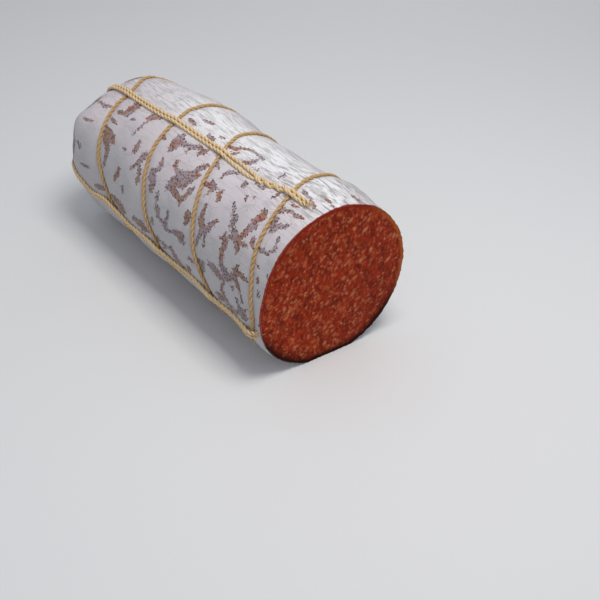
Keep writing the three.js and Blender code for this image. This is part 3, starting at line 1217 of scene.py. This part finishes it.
@dataclass(frozen=True)
class MeatFinish:
    """Fine-grained dark red meat with small grains of fat and a dried rim, near-black low down as partly
    painted shade.
    """

    lean: str = "a62e0a"
    # Dark lean in pits and patches; the same colour is painted shade in the face's lower corner on the +Y
    # side
    lean_dark_and_shade: str = "6c1705"
    lean_warm: str = "b04618"
    fat: str = "d6865e"
    fat_dull: str = "b55732"
    # The rim's near-black colour low down is partly dried meat and partly painted shade
    edge: CutEdge = CutEdge("86200f", "2c0702", "b25e22", (12.0, 36.0))
    red: Patches = Patches(Grit(4.5, 3.0), (0.28, 0.72))
    warm: Patches = Patches(Grit(2.2), (0.5, 0.75), 0.5)
    fine: Grit = Grit(0.7, 3.0, 0.65)
    pit_band: Band = (0.34, 0.52)
    pit_share: float = 0.75
    flecks: Patches = Patches(Grit((1.7, 1.4, 2.6), 3.0, 0.6), (0.5, 0.68))
    fleck_share: float = 0.6
    grain_reach: float = 0.9
    grain_band: Band = (0.2, 0.85)
    grain_share: float = 0.78
    # Painted shade: the face's lower corner on the +Y side is darkened
    corner_sideways: Band = (-10.0, 40.0)
    corner_up: Band = (15.0, 60.0)
    corner_shade_share: float = 0.4
    rim_wandering: Grit = Grit(2.0)
    rim_reach: float = 1.6
    rim_band: Band = (0.4, 2.6)
    rim_share: float = 0.85
    # Painted shade: a wider near-black band along the rim low down
    low_rim_shade_band: Band = (0.5, 6.5)
    low_rim_shade_share: float = 0.95
    dull_band: Band = (0.5, 6.0)
    dull_rise: float = 0.25
    heights: tuple[float, float, float] = (0.3, 0.35, 0.2)
    bump_height: float = 0.16
    roughness: Pair = (0.5, 0.25)
    specular: float = 0.1

    def make(self) -> bpy.types.Material:
        """Makes the finish.

        Returns:
            The cut face's material.
        """
        board = Board("cut_meat")
        here = board.place()
        fine = board.noise(self.fine)
        flecks = self.flecks.on(board)
        grain = (board.mark("fat") + (fine - 0.5) * self.grain_reach).step(*self.grain_band)
        up = board.coordinate(here, "Z").step(*self.corner_up)
        corner = board.coordinate(here, "Y").step(*self.corner_sideways) * (1 - up)
        from_rim = board.mark("rim") + (board.noise(self.rim_wandering) - 0.5) * self.rim_reach
        # The rim's colour, near-black low down as partly painted shade
        rim_colour, low = self.edge.shade(board)
        layers = (
            (self.warm.on(board), self.lean_warm),
            ((1 - fine.step(*self.pit_band)) * self.pit_share, self.lean_dark_and_shade),
            (flecks * self.fleck_share, self.fat_dull),
            (grain * self.grain_share, board.mix(board.mark("pale"), self.fat_dull, self.fat)),
            # Painted shade in the face's lower corner
            (corner * self.corner_shade_share, self.lean_dark_and_shade),
            ((1 - from_rim.step(*self.rim_band)) * self.rim_share, rim_colour),
            # Painted shade along the rim low down
            ((1 - from_rim.step(*self.low_rim_shade_band)) * low * self.low_rim_shade_share, self.edge.low),
        )
        lean = board.mix(self.red.on(board), self.lean_dark_and_shade, self.lean)
        dull = (1 - from_rim.step(*self.dull_band)) * low * self.dull_rise
        height = weighted((fine, grain, flecks), self.heights)
        return board.surface(
            {
                "Base Color": board.layered(lean, layers),
                "Roughness": self.roughness[0] + self.roughness[1] * fine + dull,
                "Normal": board.bump(height, self.bump_height),
                "Specular IOR Level": self.specular,
            }
        )


@dataclass(frozen=True)
class TwineFinish:
    """Twisted straw-coloured fibre."""

    tone: Tone
    fibre: Grit = Grit(0.33, 3.0, 0.7)
    fibre_band: Band = (0.32, 0.66)
    fibre_length: float = 0.16
    wear: Patches = Patches(Grit(6.0), (0.5, 0.75), 0.5)
    # Painted shade: the plies darken on their sides that face each other
    ply_shade_band: Band = (-0.5, 0.1)
    ply_shade_share: float = 0.6
    bump_height: float = 0.12
    roughness: Pair = (0.75, 0.15)
    specular: float = 0.25

    def make(self) -> bpy.types.Material:
        """Makes the finish.

        Returns:
            The twine's material.
        """
        light, worn, deep = self.tone.value
        board = Board("twine_" + self.tone.name.lower())
        side = board.mark("side_x")
        inputs = {0: side, 1: board.mark("side_y"), 2: board.mark("along") * self.fibre_length}
        fibre = board.noise(self.fibre, board.add("ShaderNodeCombineXYZ", {}, inputs))
        layers = (
            (self.wear.on(board), worn),
            # Painted shade between the plies
            ((1 - side.step(*self.ply_shade_band)) * self.ply_shade_share, deep),
        )
        return board.surface(
            {
                "Base Color": board.layered(board.mix(fibre.step(*self.fibre_band), worn, light), layers),
                "Roughness": self.roughness[0] + self.roughness[1] * fibre,
                "Normal": board.bump(fibre, self.bump_height),
                "Specular IOR Level": self.specular,
            }
        )


@dataclass
class Casing:
    """The casing: a thin skin from the cut's rim round the closed end, with the bunched tail."""

    form: SausageForm
    thickness: float = 0.35
    slack: float = 1.9
    row_step: float = 0.86
    columns: int = 300
    slant_fade: float = 30.0
    lumps: tuple[Mottle, ...] = (Mottle(0.35, 15), Mottle(0.1, 4, shift=9.0))
    wrinkles: Mottle = Mottle(1.0, (26, 2.6, 2.6), shift=4.0)
    wrinkle_least: float = 0.06
    wrinkled_most: float = 0.3
    wrinkled_angle: float = 66.0
    wrinkled_facing: Band = (0.2, 0.9)
    wrinkled_fade: Band = (5.0, 60.0)
    gathered_most: float = 0.25
    gathered_span: Band = (168.0, 190.0)
    crease: float = 0.35
    crease_reach: float = 1.7
    welt: float = 0.12
    welt_offset: float = 4.2
    welt_reach: float = 2.0
    smooth_end: float = 2.0
    rag: Mottle = Mottle(0.4, 1.3, 3, 3.0)
    # Painted highlight: the whitest bloom along the lit top, fading towards the closed end
    crown_angle: float = 82.0
    crown_width: float = 25.0
    crown_fade: Band = (95.0, 165.0)
    crown_loss: float = 0.75
    streak_angle: float = 68.0
    streak_facing: Band = (0.5, 0.95)
    streak_fade: Band = (8.0, 80.0)
    streak_base: float = 0.15
    streak_least: float = 0.2
    # Painted shade: the bloom greyer and the bare casing darker away from the top
    low_angle: float = 95.0
    low_span: Band = (20.0, 80.0)
    # Painted shade: a band of thin grey bloom round this angle, where the light falls off
    shade_band_angle: float = 36.0
    shade_band_width: float = 21.0
    shade_band_most: float = 0.8
    lip_width: float = 0.75
    lip_gap_angle: float = 208.0
    lip_gap_width: float = 17.0
    wall_bareness: float = -8.0
    tail_bareness: float = 0.3
    wall_depths: tuple[float, ...] = (185, 170, 150, 110, 70, 30, 8, 3)
    wall_pole: float = 188.0
    tail_rows: int = 26
    tail_start: float = 0.05
    fold_start: float = 0.4
    tail_knots: Knots = ((0, 3.4), (0.15, 3.1), (0.6, 3.1), (0.8, 4.2), (0.95, 4.8), (1, 4.3))
    tail_folds: tuple[tuple[int, float, float], ...] = ((5, 0.35, 0), (13, 0.25, 90))
    tail_end: Knots = ((0.3, 3.0), (0.9, 1.4), (1.1, 0.0))
    knuckles: tuple[Swell, ...] = (
        Swell(176, 142, 1.9, 10, 10),
        Swell(172, 163, -0.7, 10, 8),
        Swell(172, 106, -0.9, 10, 9),
        Swell(167, 82, 1.6, 11, 14),
        Swell(149, 70, 0.7, 12, 14),
    )

    def relief(self, depth: Array, angle: Array) -> Array:
        """Shapes the casing's lumps, wrinkles and creases.

        Args:
            depth: The distance from the cut.
            angle: The angle round the axis, in degrees.

        Returns:
            Their height.
        """
        place = self.form.point(depth, angle)
        facing = np.cos(np.radians(angle - self.wrinkled_angle))
        wrinkled = self.wrinkled_most * eased(facing, *self.wrinkled_facing)
        wrinkled = wrinkled * (1 - eased(depth, *self.wrinkled_fade))
        gathered = self.gathered_most * eased(depth, *self.gathered_span)
        height = sum(lump.at(place) for lump in self.lumps)
        height += (self.wrinkle_least + wrinkled + gathered) * self.wrinkles.at(place)
        height += sum(knuckle.height_at(depth, angle) for knuckle in self.knuckles)
        for loop in LOOPS:
            near = loop.distance(depth, angle)
            height -= self.crease * bell(near, self.crease_reach)
            height += self.welt * bell(np.abs(near) - self.welt_offset, self.welt_reach)
        return height * (1 - share(depth, self.form.length - self.smooth_end, self.form.length))

    def surface(self, depth: Array, angle: Array) -> Array:
        """Finds the casing's outer surface, which stays over the floor.

        Args:
            depth: The distance from the cut.
            angle: The angle round the axis, in degrees.

        Returns:
            The point on it.
        """
        place = self.form.raised(depth, angle, self.relief(depth, angle))
        place[..., 2] = np.maximum(place[..., 2], 0)
        return place

    def build(self, bloom: Bloom, material: bpy.types.Material) -> bpy.types.Object:
        """Makes the casing.

        Args:
            bloom: Where the bloom is and isn't.
            material: The casing's finish.

        Returns:
            The piece.
        """
        angles = np.linspace(0, -360, self.columns + 1)
        depths, _ = self.form.profile(self.row_step)
        depth, angle = np.meshgrid(depths, angles, indexing="ij")
        depth = depth + self.form.cut_depth(angle) * (1 - share(depth, 0, self.slant_fade))
        outer = self.surface(depth, angle)
        bare = bloom.bareness(depth, angle % 360, outer)
        outer[0, :, 0] += self.rag.at(outer[:1])[0]
        inner = self._inner_wall(angle[0], outer[0])
        tail = self._tail(angle[0])
        marks = {
            name: np.concatenate([np.full(inner.shape[:2], before), drawn, np.full(tail.shape[:2], after)])
            for name, before, drawn, after in self._marks(depth, angle, bare)
        }
        piece = Workpiece(list(marks))
        piece.lay_sheet(np.concatenate([inner, outer, tail]), marks)
        return piece.finish("casing", material)

    def _marks(self, depth: Array, angle: Array, bare: Array) -> tuple[tuple[str, float, Array, float], ...]:
        """Works out what the finish reads from the casing.

        Args:
            depth: The outer surface's depths.
            angle: Its angles.
            bare: How far it lies inside the bare patches.

        Returns:
            Each mark's name, its value on the inner wall, those on the outer surface, and the tail's.
        """
        upper = eased(np.cos(np.radians(angle - self.streak_angle)), *self.streak_facing)
        to_cut = 1 - 0.5 * eased(depth, *self.streak_fade)
        streaks = np.maximum(self.streak_base + (1 - self.streak_base) * upper * to_cut, self.streak_least)
        # Painted highlight: whiter bloom along the top, where the light falls
        crown = bell(turned(angle - self.crown_angle), self.crown_width)
        crown = crown * (1 - self.crown_loss * eased(depth, *self.crown_fade))
        # Painted shade away from the top
        low = eased(np.abs(turned(angle - self.low_angle)), *self.low_span)
        # Painted shade: a band of thin grey bloom on the upper side
        worn = bell(turned(angle - self.shade_band_angle), self.shade_band_width) * self.shade_band_most
        gap = bell(turned(angle - self.lip_gap_angle), self.lip_gap_width)
        lip = (1 - share(depth - self.form.cut_depth(angle), 0, self.lip_width)) * (1 - gap)
        return (
            ("bare", self.wall_bareness, bare, self.tail_bareness),
            ("crown", 0.0, crown, 0.0),
            ("streaks", 0.0, streaks, 1.0),
            ("low", 0.0, low, 0.5),
            ("worn", 0.0, worn, 0.0),
            ("lip", 1.0, lip, 0.0),
        )

    def _inner_wall(self, angle: Array, rim: Array) -> Array:
        """Lays out the inner wall, from its pole to the cut's rim.

        Args:
            angle: The angles of the points in a row.
            rim: The outer surface's first row.

        Returns:
            The rows of points.
        """
        whole = 2 * self.form.radius
        rows = [self.form.point(np.full_like(angle, self.wall_pole), angle, False, whole)]
        for depth in self.wall_depths:
            rows.append(self.form.point(np.full_like(angle, depth), angle, False, self.slack))
        inward = self.form.point(self.form.cut_depth(angle), angle, True, self.thickness)
        inward[:, 0] = rim[:, 0]
        return np.stack([*rows, inward])

    def _tail(self, angle: Array) -> Array:
        """Lays out the bunched tail, out to its closed end.

        Args:
            angle: The angles of the points in a row.

        Returns:
            The rows of points.
        """
        rows = []
        for out in np.linspace(self.tail_start, 1, self.tail_rows):
            waves = [deep * np.cos(np.radians(n * angle + turn * out)) for n, deep, turn in self.tail_folds]
            r = smooth(self.tail_knots, np.array(out)) + sum(waves) * (self.fold_start + out)
            rows.append(self.form.around_axis(self.form.length + out * self.form.tail_length, angle, r))
        end = self.form.length + self.form.tail_length
        for back, r in self.tail_end:
            rows.append(self.form.around_axis(end - back, angle, np.full_like(angle, r)))
        return np.stack(rows)


@dataclass
class Meat:
    """The meat inside the casing, with its cut face."""

    form: SausageForm
    casing: Casing
    side_count: int = 206
    tuck: float = 0.3
    rounding: float = 0.25
    rounding_width: float = 0.8
    unevenness: tuple[Mottle, ...] = (Mottle(0.12, 9), Mottle(0.07, 1.3, shift=5.0))
    back_depths: tuple[float, ...] = (3, 30, 70, 110, 150, 170, 182)
    grain_count: int = 1150
    grain_height: float = 0.1
    grain_sizes: Pair = (0.42, 0.5)
    grain_span: Band = (0.1, 1.0)
    grain_reach: float = 1.25
    grain_tilt: Pair = (60.0, 0.7)
    grain_stretch: Band = (1.0, 1.9)
    grain_strength: Band = (0.55, 1.0)

    def build(self, material: bpy.types.Material) -> bpy.types.Object:
        """Makes the meat: a disc for its cut face, drawn back inside the casing.

        Args:
            material: The meat's finish.

        Returns:
            The piece.
        """
        piece = Workpiece(["fat", "pale", "rim"])
        across = np.linspace(-1, 1, self.side_count + 1)
        v, u = np.meshgrid(across, across, indexing="ij")
        x = u * np.sqrt(1 - v * v / 2)
        y = v * np.sqrt(1 - u * u / 2)
        ratio = np.hypot(x, y)
        angle = np.degrees(np.arctan2(y, x))
        rim = self.form.point(self.form.cut_depth(angle), angle, True, self.tuck)
        middle = np.array([*self.form.centre, self.form.axis_height])
        face = middle + (rim - middle) * ratio[..., None]
        from_rim = (1 - ratio) * np.linalg.norm(rim - middle, axis=-1)
        fat, pale = self._grains(face[..., 1:])
        rounded = self.rounding * (1 - share(from_rim, 0, self.rounding_width)) ** 2
        uneven = sum(part.at(face) for part in self.unevenness)
        face[..., 0] += uneven + self.grain_height * fat - rounded
        piece.lay_sheet(face, {"fat": fat, "pale": pale, "rim": from_rim})
        self._draw_back(piece.shape)
        return piece.finish("meat", material)

    def _draw_back(self, shape: bmesh.types.BMesh) -> None:
        """Extrudes the face's edge back inside the casing and closes it.

        Args:
            shape: The mesh, with only the face in it.
        """
        inset = np.array(self.casing.slack + self.tuck)
        for depth in self.back_depths:
            edges = [edge for edge in shape.edges if edge.is_boundary]
            made = bmesh.ops.extrude_edge_only(shape, edges=edges)["geom"]
            for vert in [item for item in made if isinstance(item, bmesh.types.BMVert)]:
                height = vert.co.z / MM - self.form.axis_height
                angle = np.array(math.degrees(math.atan2(height, vert.co.y / MM - self.form.centre[1])))
                vert.co = self.form.point(np.array(float(depth)), angle, False, inset) * MM
        edges = [edge for edge in shape.edges if edge.is_boundary]
        bmesh.ops.holes_fill(shape, edges=edges, sides=0)

    def _grains(self, places: Array) -> tuple[Array, Array]:
        """Scatters the grains of fat.

        Args:
            places: The face's places as (y, z).

        Returns:
            How much each place lies in a grain, and how pale that grain is.
        """
        rng = np.random.default_rng(SEED + 1)
        fat, pale = np.zeros(places.shape[:-1]), np.zeros(places.shape[:-1])
        middle = np.array([self.form.centre[1], self.form.axis_height])
        for _ in range(self.grain_count):
            reach = self.form.radius * math.sqrt(rng.uniform())
            bearing = rng.uniform(0, 2 * math.pi)
            spot = middle + reach * np.array([math.cos(bearing), math.sin(bearing)])
            size = self.grain_sizes[0] * math.exp(rng.normal(0, self.grain_sizes[1])) + self.grain_span[0]
            size = min(size, self.grain_span[1])
            tilt = rng.normal(math.radians(self.grain_tilt[0]), self.grain_tilt[1])
            stretch = rng.uniform(*self.grain_stretch)
            tone = rng.uniform(0, 1) ** 2
            strength = rng.uniform(*self.grain_strength)
            offset = places - spot
            along = (offset[..., 0] * math.cos(tilt) + offset[..., 1] * math.sin(tilt)) / stretch
            across = offset[..., 1] * math.cos(tilt) - offset[..., 0] * math.sin(tilt)
            inside = strength * bell(np.hypot(along, across), self.grain_reach * size)
            pale = np.where(inside > fat, tone, pale)
            fat = np.maximum(fat, inside)
        return fat, pale


@dataclass(frozen=True)
class Twine:
    """Two-ply twine."""

    diameter: float = 1.8
    plies: int = 2
    pitch: float = 6.4
    ply_radius: float = 0.67
    ply_offset: float = 0.33
    ply_shift: float = 37.0
    lump_height: float = 0.12
    lump_size: float = 2.4
    lump_shift: float = 3.0
    sides: int = 9
    steps: int = 12
    sink: float = 0.25
    tip: float = 0.001
    opening_reach: float = 2.8
    opening_offset: float = 1.3
    opening_thin: float = 0.35
    fibres: int = 14
    fibre_radius: float = 0.13
    fibre_taper: float = 0.93
    fibre_sides: int = 4
    fibre_rows: int = 6
    fibre_lengths: Band = (1.2, 3.0)
    fibre_roots: Band = (0.4, 1.2)
    fibre_spread: float = 0.45
    fibre_lift: float = 0.1
    fibre_bends: Pair = (0.9, 0.8)
    fibre_lowest: float = 0.2

    def spin(
        self, piece: Workpiece, line: Array, closed: bool, frayed: tuple[bool, bool] = (False, False)
    ) -> None:
        """Lays the plies along a line.

        Args:
            piece: What the plies are added to, with marks along, side_x and side_y.
            line: Points along the twine's middle.
            closed: Whether the twine closes on itself.
            frayed: Whether its plies part at the start and at the end.
        """
        length = float(np.sum(np.linalg.norm(np.diff(line, axis=0), axis=1)))
        turns = max(round(length / self.pitch), 1)
        line = even_line(line, turns * self.steps + 1)
        first, second = self._frames(line, closed)
        part = np.linspace(0, 1, len(line))
        taper = np.ones(len(line))
        opening = np.zeros(len(line))
        for is_frayed, distance in zip(frayed, (part * length, (1 - part) * length)):
            if not closed:
                round_end = np.sqrt(share(distance, 0, self.diameter / 2))
                taper *= round_end * (1 - self.tip) + self.tip
            if is_frayed:
                opening += bell(distance, self.opening_reach)
        for ply in range(self.plies):
            phase = 2 * math.pi * (part * turns + ply / self.plies)
            outward = np.cos(phase)[:, None] * first + np.sin(phase)[:, None] * second
            centre = line + outward * (self.ply_offset * (1 + self.opening_offset * opening))[:, None]
            ahead = self._ahead(centre, closed)
            aside = np.cross(ahead, outward)
            aside /= np.linalg.norm(aside, axis=1, keepdims=True)
            lump = Mottle(self.lump_height, self.lump_size, shift=self.lump_shift * ply).at(centre)
            thick = self.ply_radius * (1 + lump) * taper * (1 - self.opening_thin * opening)
            if closed:
                thick[-1] = thick[0]
            points, around = rings(centre, np.cross(aside, ahead), aside, thick, self.sides)
            shape = points.shape[:2]
            marks = {
                "along": np.broadcast_to((part * length + self.ply_shift * ply)[:, None], shape),
                "side_x": np.broadcast_to(np.cos(around)[None], shape),
                "side_y": np.broadcast_to(np.sin(around)[None], shape),
            }
            piece.lay_sheet(points, marks)

    def fray(self, piece: Workpiece, end: Array, ahead: Array, seed: int) -> None:
        """Adds the thin fibres that stand out of a cut end.

        Args:
            piece: What the fibres are added to.
            end: The twine's end.
            ahead: The direction in which it points.
            seed: Makes each end its own.
        """
        rng = np.random.default_rng(seed)
        ahead = ahead / np.linalg.norm(ahead)
        out = np.linspace(0, 1, self.fibre_rows)
        thick = self.fibre_radius * (1 - self.fibre_taper * out**2)
        at_root, at_tip = self.fibre_bends
        for _ in range(self.fibres):
            away = rng.normal(0, self.fibre_spread, 3) + (0, 0, self.fibre_lift)
            length = rng.uniform(*self.fibre_lengths)
            root = end - ahead * rng.uniform(*self.fibre_roots) + away * at_root
            reach = out[:, None] * length
            line = root + ahead * reach + away * out[:, None] * reach * at_tip
            line[:, 2] = np.maximum(line[:, 2], self.fibre_lowest)
            points, around = rings(line, *self._frames(line, False), thick, self.fibre_sides)
            shape = points.shape[:2]
            marks = {
                "along": np.broadcast_to(reach, shape),
                "side_x": np.ones(shape),
                "side_y": np.broadcast_to(np.sin(around)[None], shape),
            }
            piece.lay_sheet(points, marks)

    def _ahead(self, line: Array, closed: bool) -> Array:
        """Works out where a line is heading.

        Args:
            line: Its points.
            closed: Whether it closes on itself.

        Returns:
            Its direction at each point.
        """
        ahead = np.gradient(line, axis=0)
        if closed:
            ahead[0] = ahead[-1] = line[1] - line[-2]
        return ahead / np.linalg.norm(ahead, axis=1, keepdims=True)

    def _frames(self, line: Array, closed: bool) -> tuple[Array, Array]:
        """Finds two directions across a line, which turn as little as they can along it.

        Args:
            line: Its points.
            closed: Whether it closes on itself.

        Returns:
            Both directions at each point.
        """
        ahead = self._ahead(line, closed)
        first = np.zeros_like(line)
        any_direction = (0.3, 0.1, 0.9)
        start = np.cross(ahead[0], any_direction)
        first[0] = start / np.linalg.norm(start)
        for i in range(1, len(line)):
            moved = first[i - 1] - ahead[i] * np.dot(first[i - 1], ahead[i])
            first[i] = moved / np.linalg.norm(moved)
        second = np.cross(ahead, first)
        if closed:
            miss = math.atan2(float(np.dot(first[-1], second[0])), float(np.dot(first[-1], first[0])))
            turn = -miss * np.linspace(0, 1, len(line))[:, None]
            first, second = (
                np.cos(turn) * first + np.sin(turn) * second,
                np.cos(turn) * second - np.sin(turn) * first,
            )
        return first, second


def even_line(points: Array, count: int) -> Array:
    """Spaces points evenly on a smooth curve.

    Args:
        points: What the curve goes through.
        count: How many points are wanted.

    Returns:
        The points.
    """
    steps = np.linalg.norm(np.diff(points, axis=0), axis=1)
    travel = np.concatenate([[0], np.cumsum(steps)])
    dense = np.linspace(0, travel[-1], count)
    return np.stack([smooth(list(zip(travel, axis)), dense) for axis in points.T], axis=1)


@dataclass
class Binding:
    """All the twine: the loops, the lengthwise cords and the tie round the tail."""

    form: SausageForm
    casing: Casing
    twine: Twine
    light: bpy.types.Material
    ochre: bpy.types.Material
    loop_points: int = 241
    clearance: float = 0.16
    row_step: float = 1.6
    row_margin: float = 0.5
    strand_gap: float = 0.15
    least_radius: float = 8.0
    wrapped: Band = (21.0, 47.0)
    wrap_lift: float = 0.45
    wrap_sink: float = -0.1
    hump: float = 0.95
    hump_reach: float = 4.2
    tail_places: Knots = ((0.14, 1.6), (0.28, 0.4), (0.46, 0.1), (0.66, 0.1))
    tail_apart: float = 0.55
    tie_turns: float = 2.25
    tie_points: int = 80
    tie_start: float = 0.37
    tie_pitch: float = 1.9
    tie_gap: float = 0.3
    tie_layers: float = 1.5
    marks: tuple[str, ...] = ("along", "side_x", "side_y")

    def build(self) -> None:
        """Makes every loop, cord and the tie."""
        for loop in LOOPS:
            self._make(loop.name, self._loop_line(loop), self.ochre, True)
        for cord in CORDS:
            for side, word in ((1, "left"), (-1, "right")):
                line = self._strand_line(cord, side)
                self._make(f"cord_{cord.name}_{word}", line, self.light, False, (True, False))
        self._make("end_tie", self._tie_line(), self.light, False, (True, True))

    def _make(
        self,
        node: str,
        line: Array,
        material: bpy.types.Material,
        closed: bool,
        frayed: tuple[bool, bool] = (False, False),
    ) -> None:
        """Makes the twine that stands for one node.

        Args:
            node: The node's name.
            line: Points along the twine's middle.
            material: Its finish.
            closed: Whether it closes on itself.
            frayed: Whether its start and its end are frayed.
        """
        piece = Workpiece(self.marks)
        self.twine.spin(piece, line, closed, frayed)
        if frayed[0]:
            self.twine.fray(piece, line[0], line[0] - line[1], SEED + len(node))
        if frayed[1]:
            self.twine.fray(piece, line[-1], line[-1] - line[-2], SEED - len(node))
        made = piece.finish("twine_" + node, material)
        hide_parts(node)

    def _loop_line(self, loop: Loop) -> Array:
        """Finds the middle line of a loop.

        Args:
            loop: The loop.

        Returns:
            Points along the line, which closes on itself.
        """
        angle = np.linspace(0, 360, self.loop_points)
        depth = smooth_round(loop.route, angle)
        height = self.casing.relief(depth, angle) + self.twine.diameter / 2 - self.twine.sink
        line = self.form.raised(depth, angle, height)
        line[:, 2] = np.maximum(line[:, 2], self.twine.diameter / 2 + self.clearance)
        line[-1] = line[0]
        return line

    def _strand_line(self, cord: Cord, side: int) -> Array:
        """Finds the middle line of one strand of a cord, over the closed end and along the tail.

        Args:
            cord: The pair that the strand belongs to.
            side: 1 for the left strand, -1 for the right one.

        Returns:
            Points along the line.
        """
        thick = self.twine.diameter
        depths, _ = self.form.profile(self.row_step)
        depth = depths[(depths >= cord.start) & (depths < self.form.length - self.row_margin)]
        middle = smooth(cord.route, depth)
        apart = thick + self.strand_gap + cord.spread_by * bell(depth - cord.spread_at, cord.spread_along)
        r = np.maximum(self.form.full_radius(depth, middle), self.least_radius)
        turn = 2 * math.pi * cord.wraps * share(depth, *self.wrapped)
        angle = middle + side * np.cos(turn) * np.degrees(apart / 2 / r)
        lift = np.maximum(self.wrap_lift * side * np.sin(turn), self.wrap_sink)
        height = thick / 2 - self.twine.sink + thick * lift
        for loop in LOOPS:
            rise = self.hump * thick - loop.pinch - self.casing.crease / 2
            height = height + rise * bell(loop.distance(depth, angle), self.hump_reach)
        line = self.form.raised(depth, angle, height, False)
        pole_angle = cord.route[-1][1]
        tail = []
        for out, clear in self.tail_places:
            away = self.form.tail_radius + thick / 2 + clear
            place = pole_angle + side * math.degrees(thick * self.tail_apart / away)
            tail.append(self.form.around_axis(self.form.length + out * self.form.tail_length, place, away))
        return np.concatenate([line, np.stack(tail)])

    def _tie_line(self) -> Array:
        """Finds the middle line of the tie's turns round the tail.

        Returns:
            Points along the line.
        """
        angle = np.linspace(0, 360 * self.tie_turns, self.tie_points)
        r = self.form.tail_radius + self.tie_layers * self.twine.diameter + self.tie_gap
        start = self.form.length + self.tie_start * self.form.tail_length
        return self.form.around_axis(start + self.tie_pitch * angle / 360, angle, np.full_like(angle, r))


@dataclass(frozen=True)
class Lamp:
    """A soft square light."""

    name: str
    place: tuple[float, float, float]
    size: float
    power: float
    tint: str


@dataclass(frozen=True)
class Studio:
    """The pale floor, the soft lights and the sky round them."""

    floor_half: float = 6000.0
    floor_colour: str = "e2e2e3"
    sky_colour: str = "eef2fa"
    sky_strength: float = 0.5
    floor_roughness: float = 0.9
    aim: tuple[float, float, float] = (20.0, 0.0, 40.0)
    lamps: tuple[Lamp, ...] = (
        Lamp("overhead", (195, 20, 600), 260, 1.98, "fffdf8"),
        Lamp("window", (-420, 560, 260), 380, 0.25, "ffffff"),
    )

    def build(self) -> None:
        """Makes the floor, the lights and the sky."""
        shape = bmesh.new()
        bmesh.ops.create_grid(shape, x_segments=1, y_segments=1, size=self.floor_half * MM)
        mesh = bpy.data.meshes.new("floor")
        shape.to_mesh(mesh)
        shape.free()
        board = Board("floor_paint")
        paint = {"Base Color": colour(self.floor_colour), "Roughness": self.floor_roughness}
        mesh.materials.append(board.surface(paint))
        floor = bpy.data.objects.new("floor", mesh)
        bpy.context.scene.collection.objects.link(floor)
        for lamp in self.lamps:
            place = Vector(lamp.place)
            light = bpy.data.lights.new(lamp.name, "AREA")
            light.size = lamp.size * MM
            light.energy = lamp.power
            light.color = colour(lamp.tint)[:3]
            holder = bpy.data.objects.new(lamp.name, light)
            holder.location = place * MM
            holder.rotation_euler = (place - Vector(self.aim)).to_track_quat("Z", "Y").to_euler()
            bpy.context.scene.collection.objects.link(holder)
        sky = bpy.data.worlds.new("sky")
        sky.use_nodes = True
        back = sky.node_tree.nodes["Background"]
        back.inputs["Color"].default_value = colour(self.sky_colour)
        back.inputs["Strength"].default_value = self.sky_strength
        bpy.context.scene.world = sky
        bpy.context.scene.view_settings.view_transform = "Standard"


def main() -> None:
    """Builds the sausage round its frame, and the studio it is seen in."""
    logging.basicConfig(level=logging.INFO, format="%(message)s")
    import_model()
    view = Viewpoint()
    view.make_camera()
    form = SausageForm()
    bloom = Bloom(form, view)
    casing = Casing(form)
    skin = casing.build(bloom, CasingFinish().make())
    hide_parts("sausage")
    meat = Meat(form, casing).build(MeatFinish().make())
    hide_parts("sausage")
    light, ochre = TwineFinish(Tone.LIGHT).make(), TwineFinish(Tone.OCHRE).make()
    Binding(form, casing, Twine(), light, ochre).build()
    Studio().build()


if __name__ == "__main__":
    main()
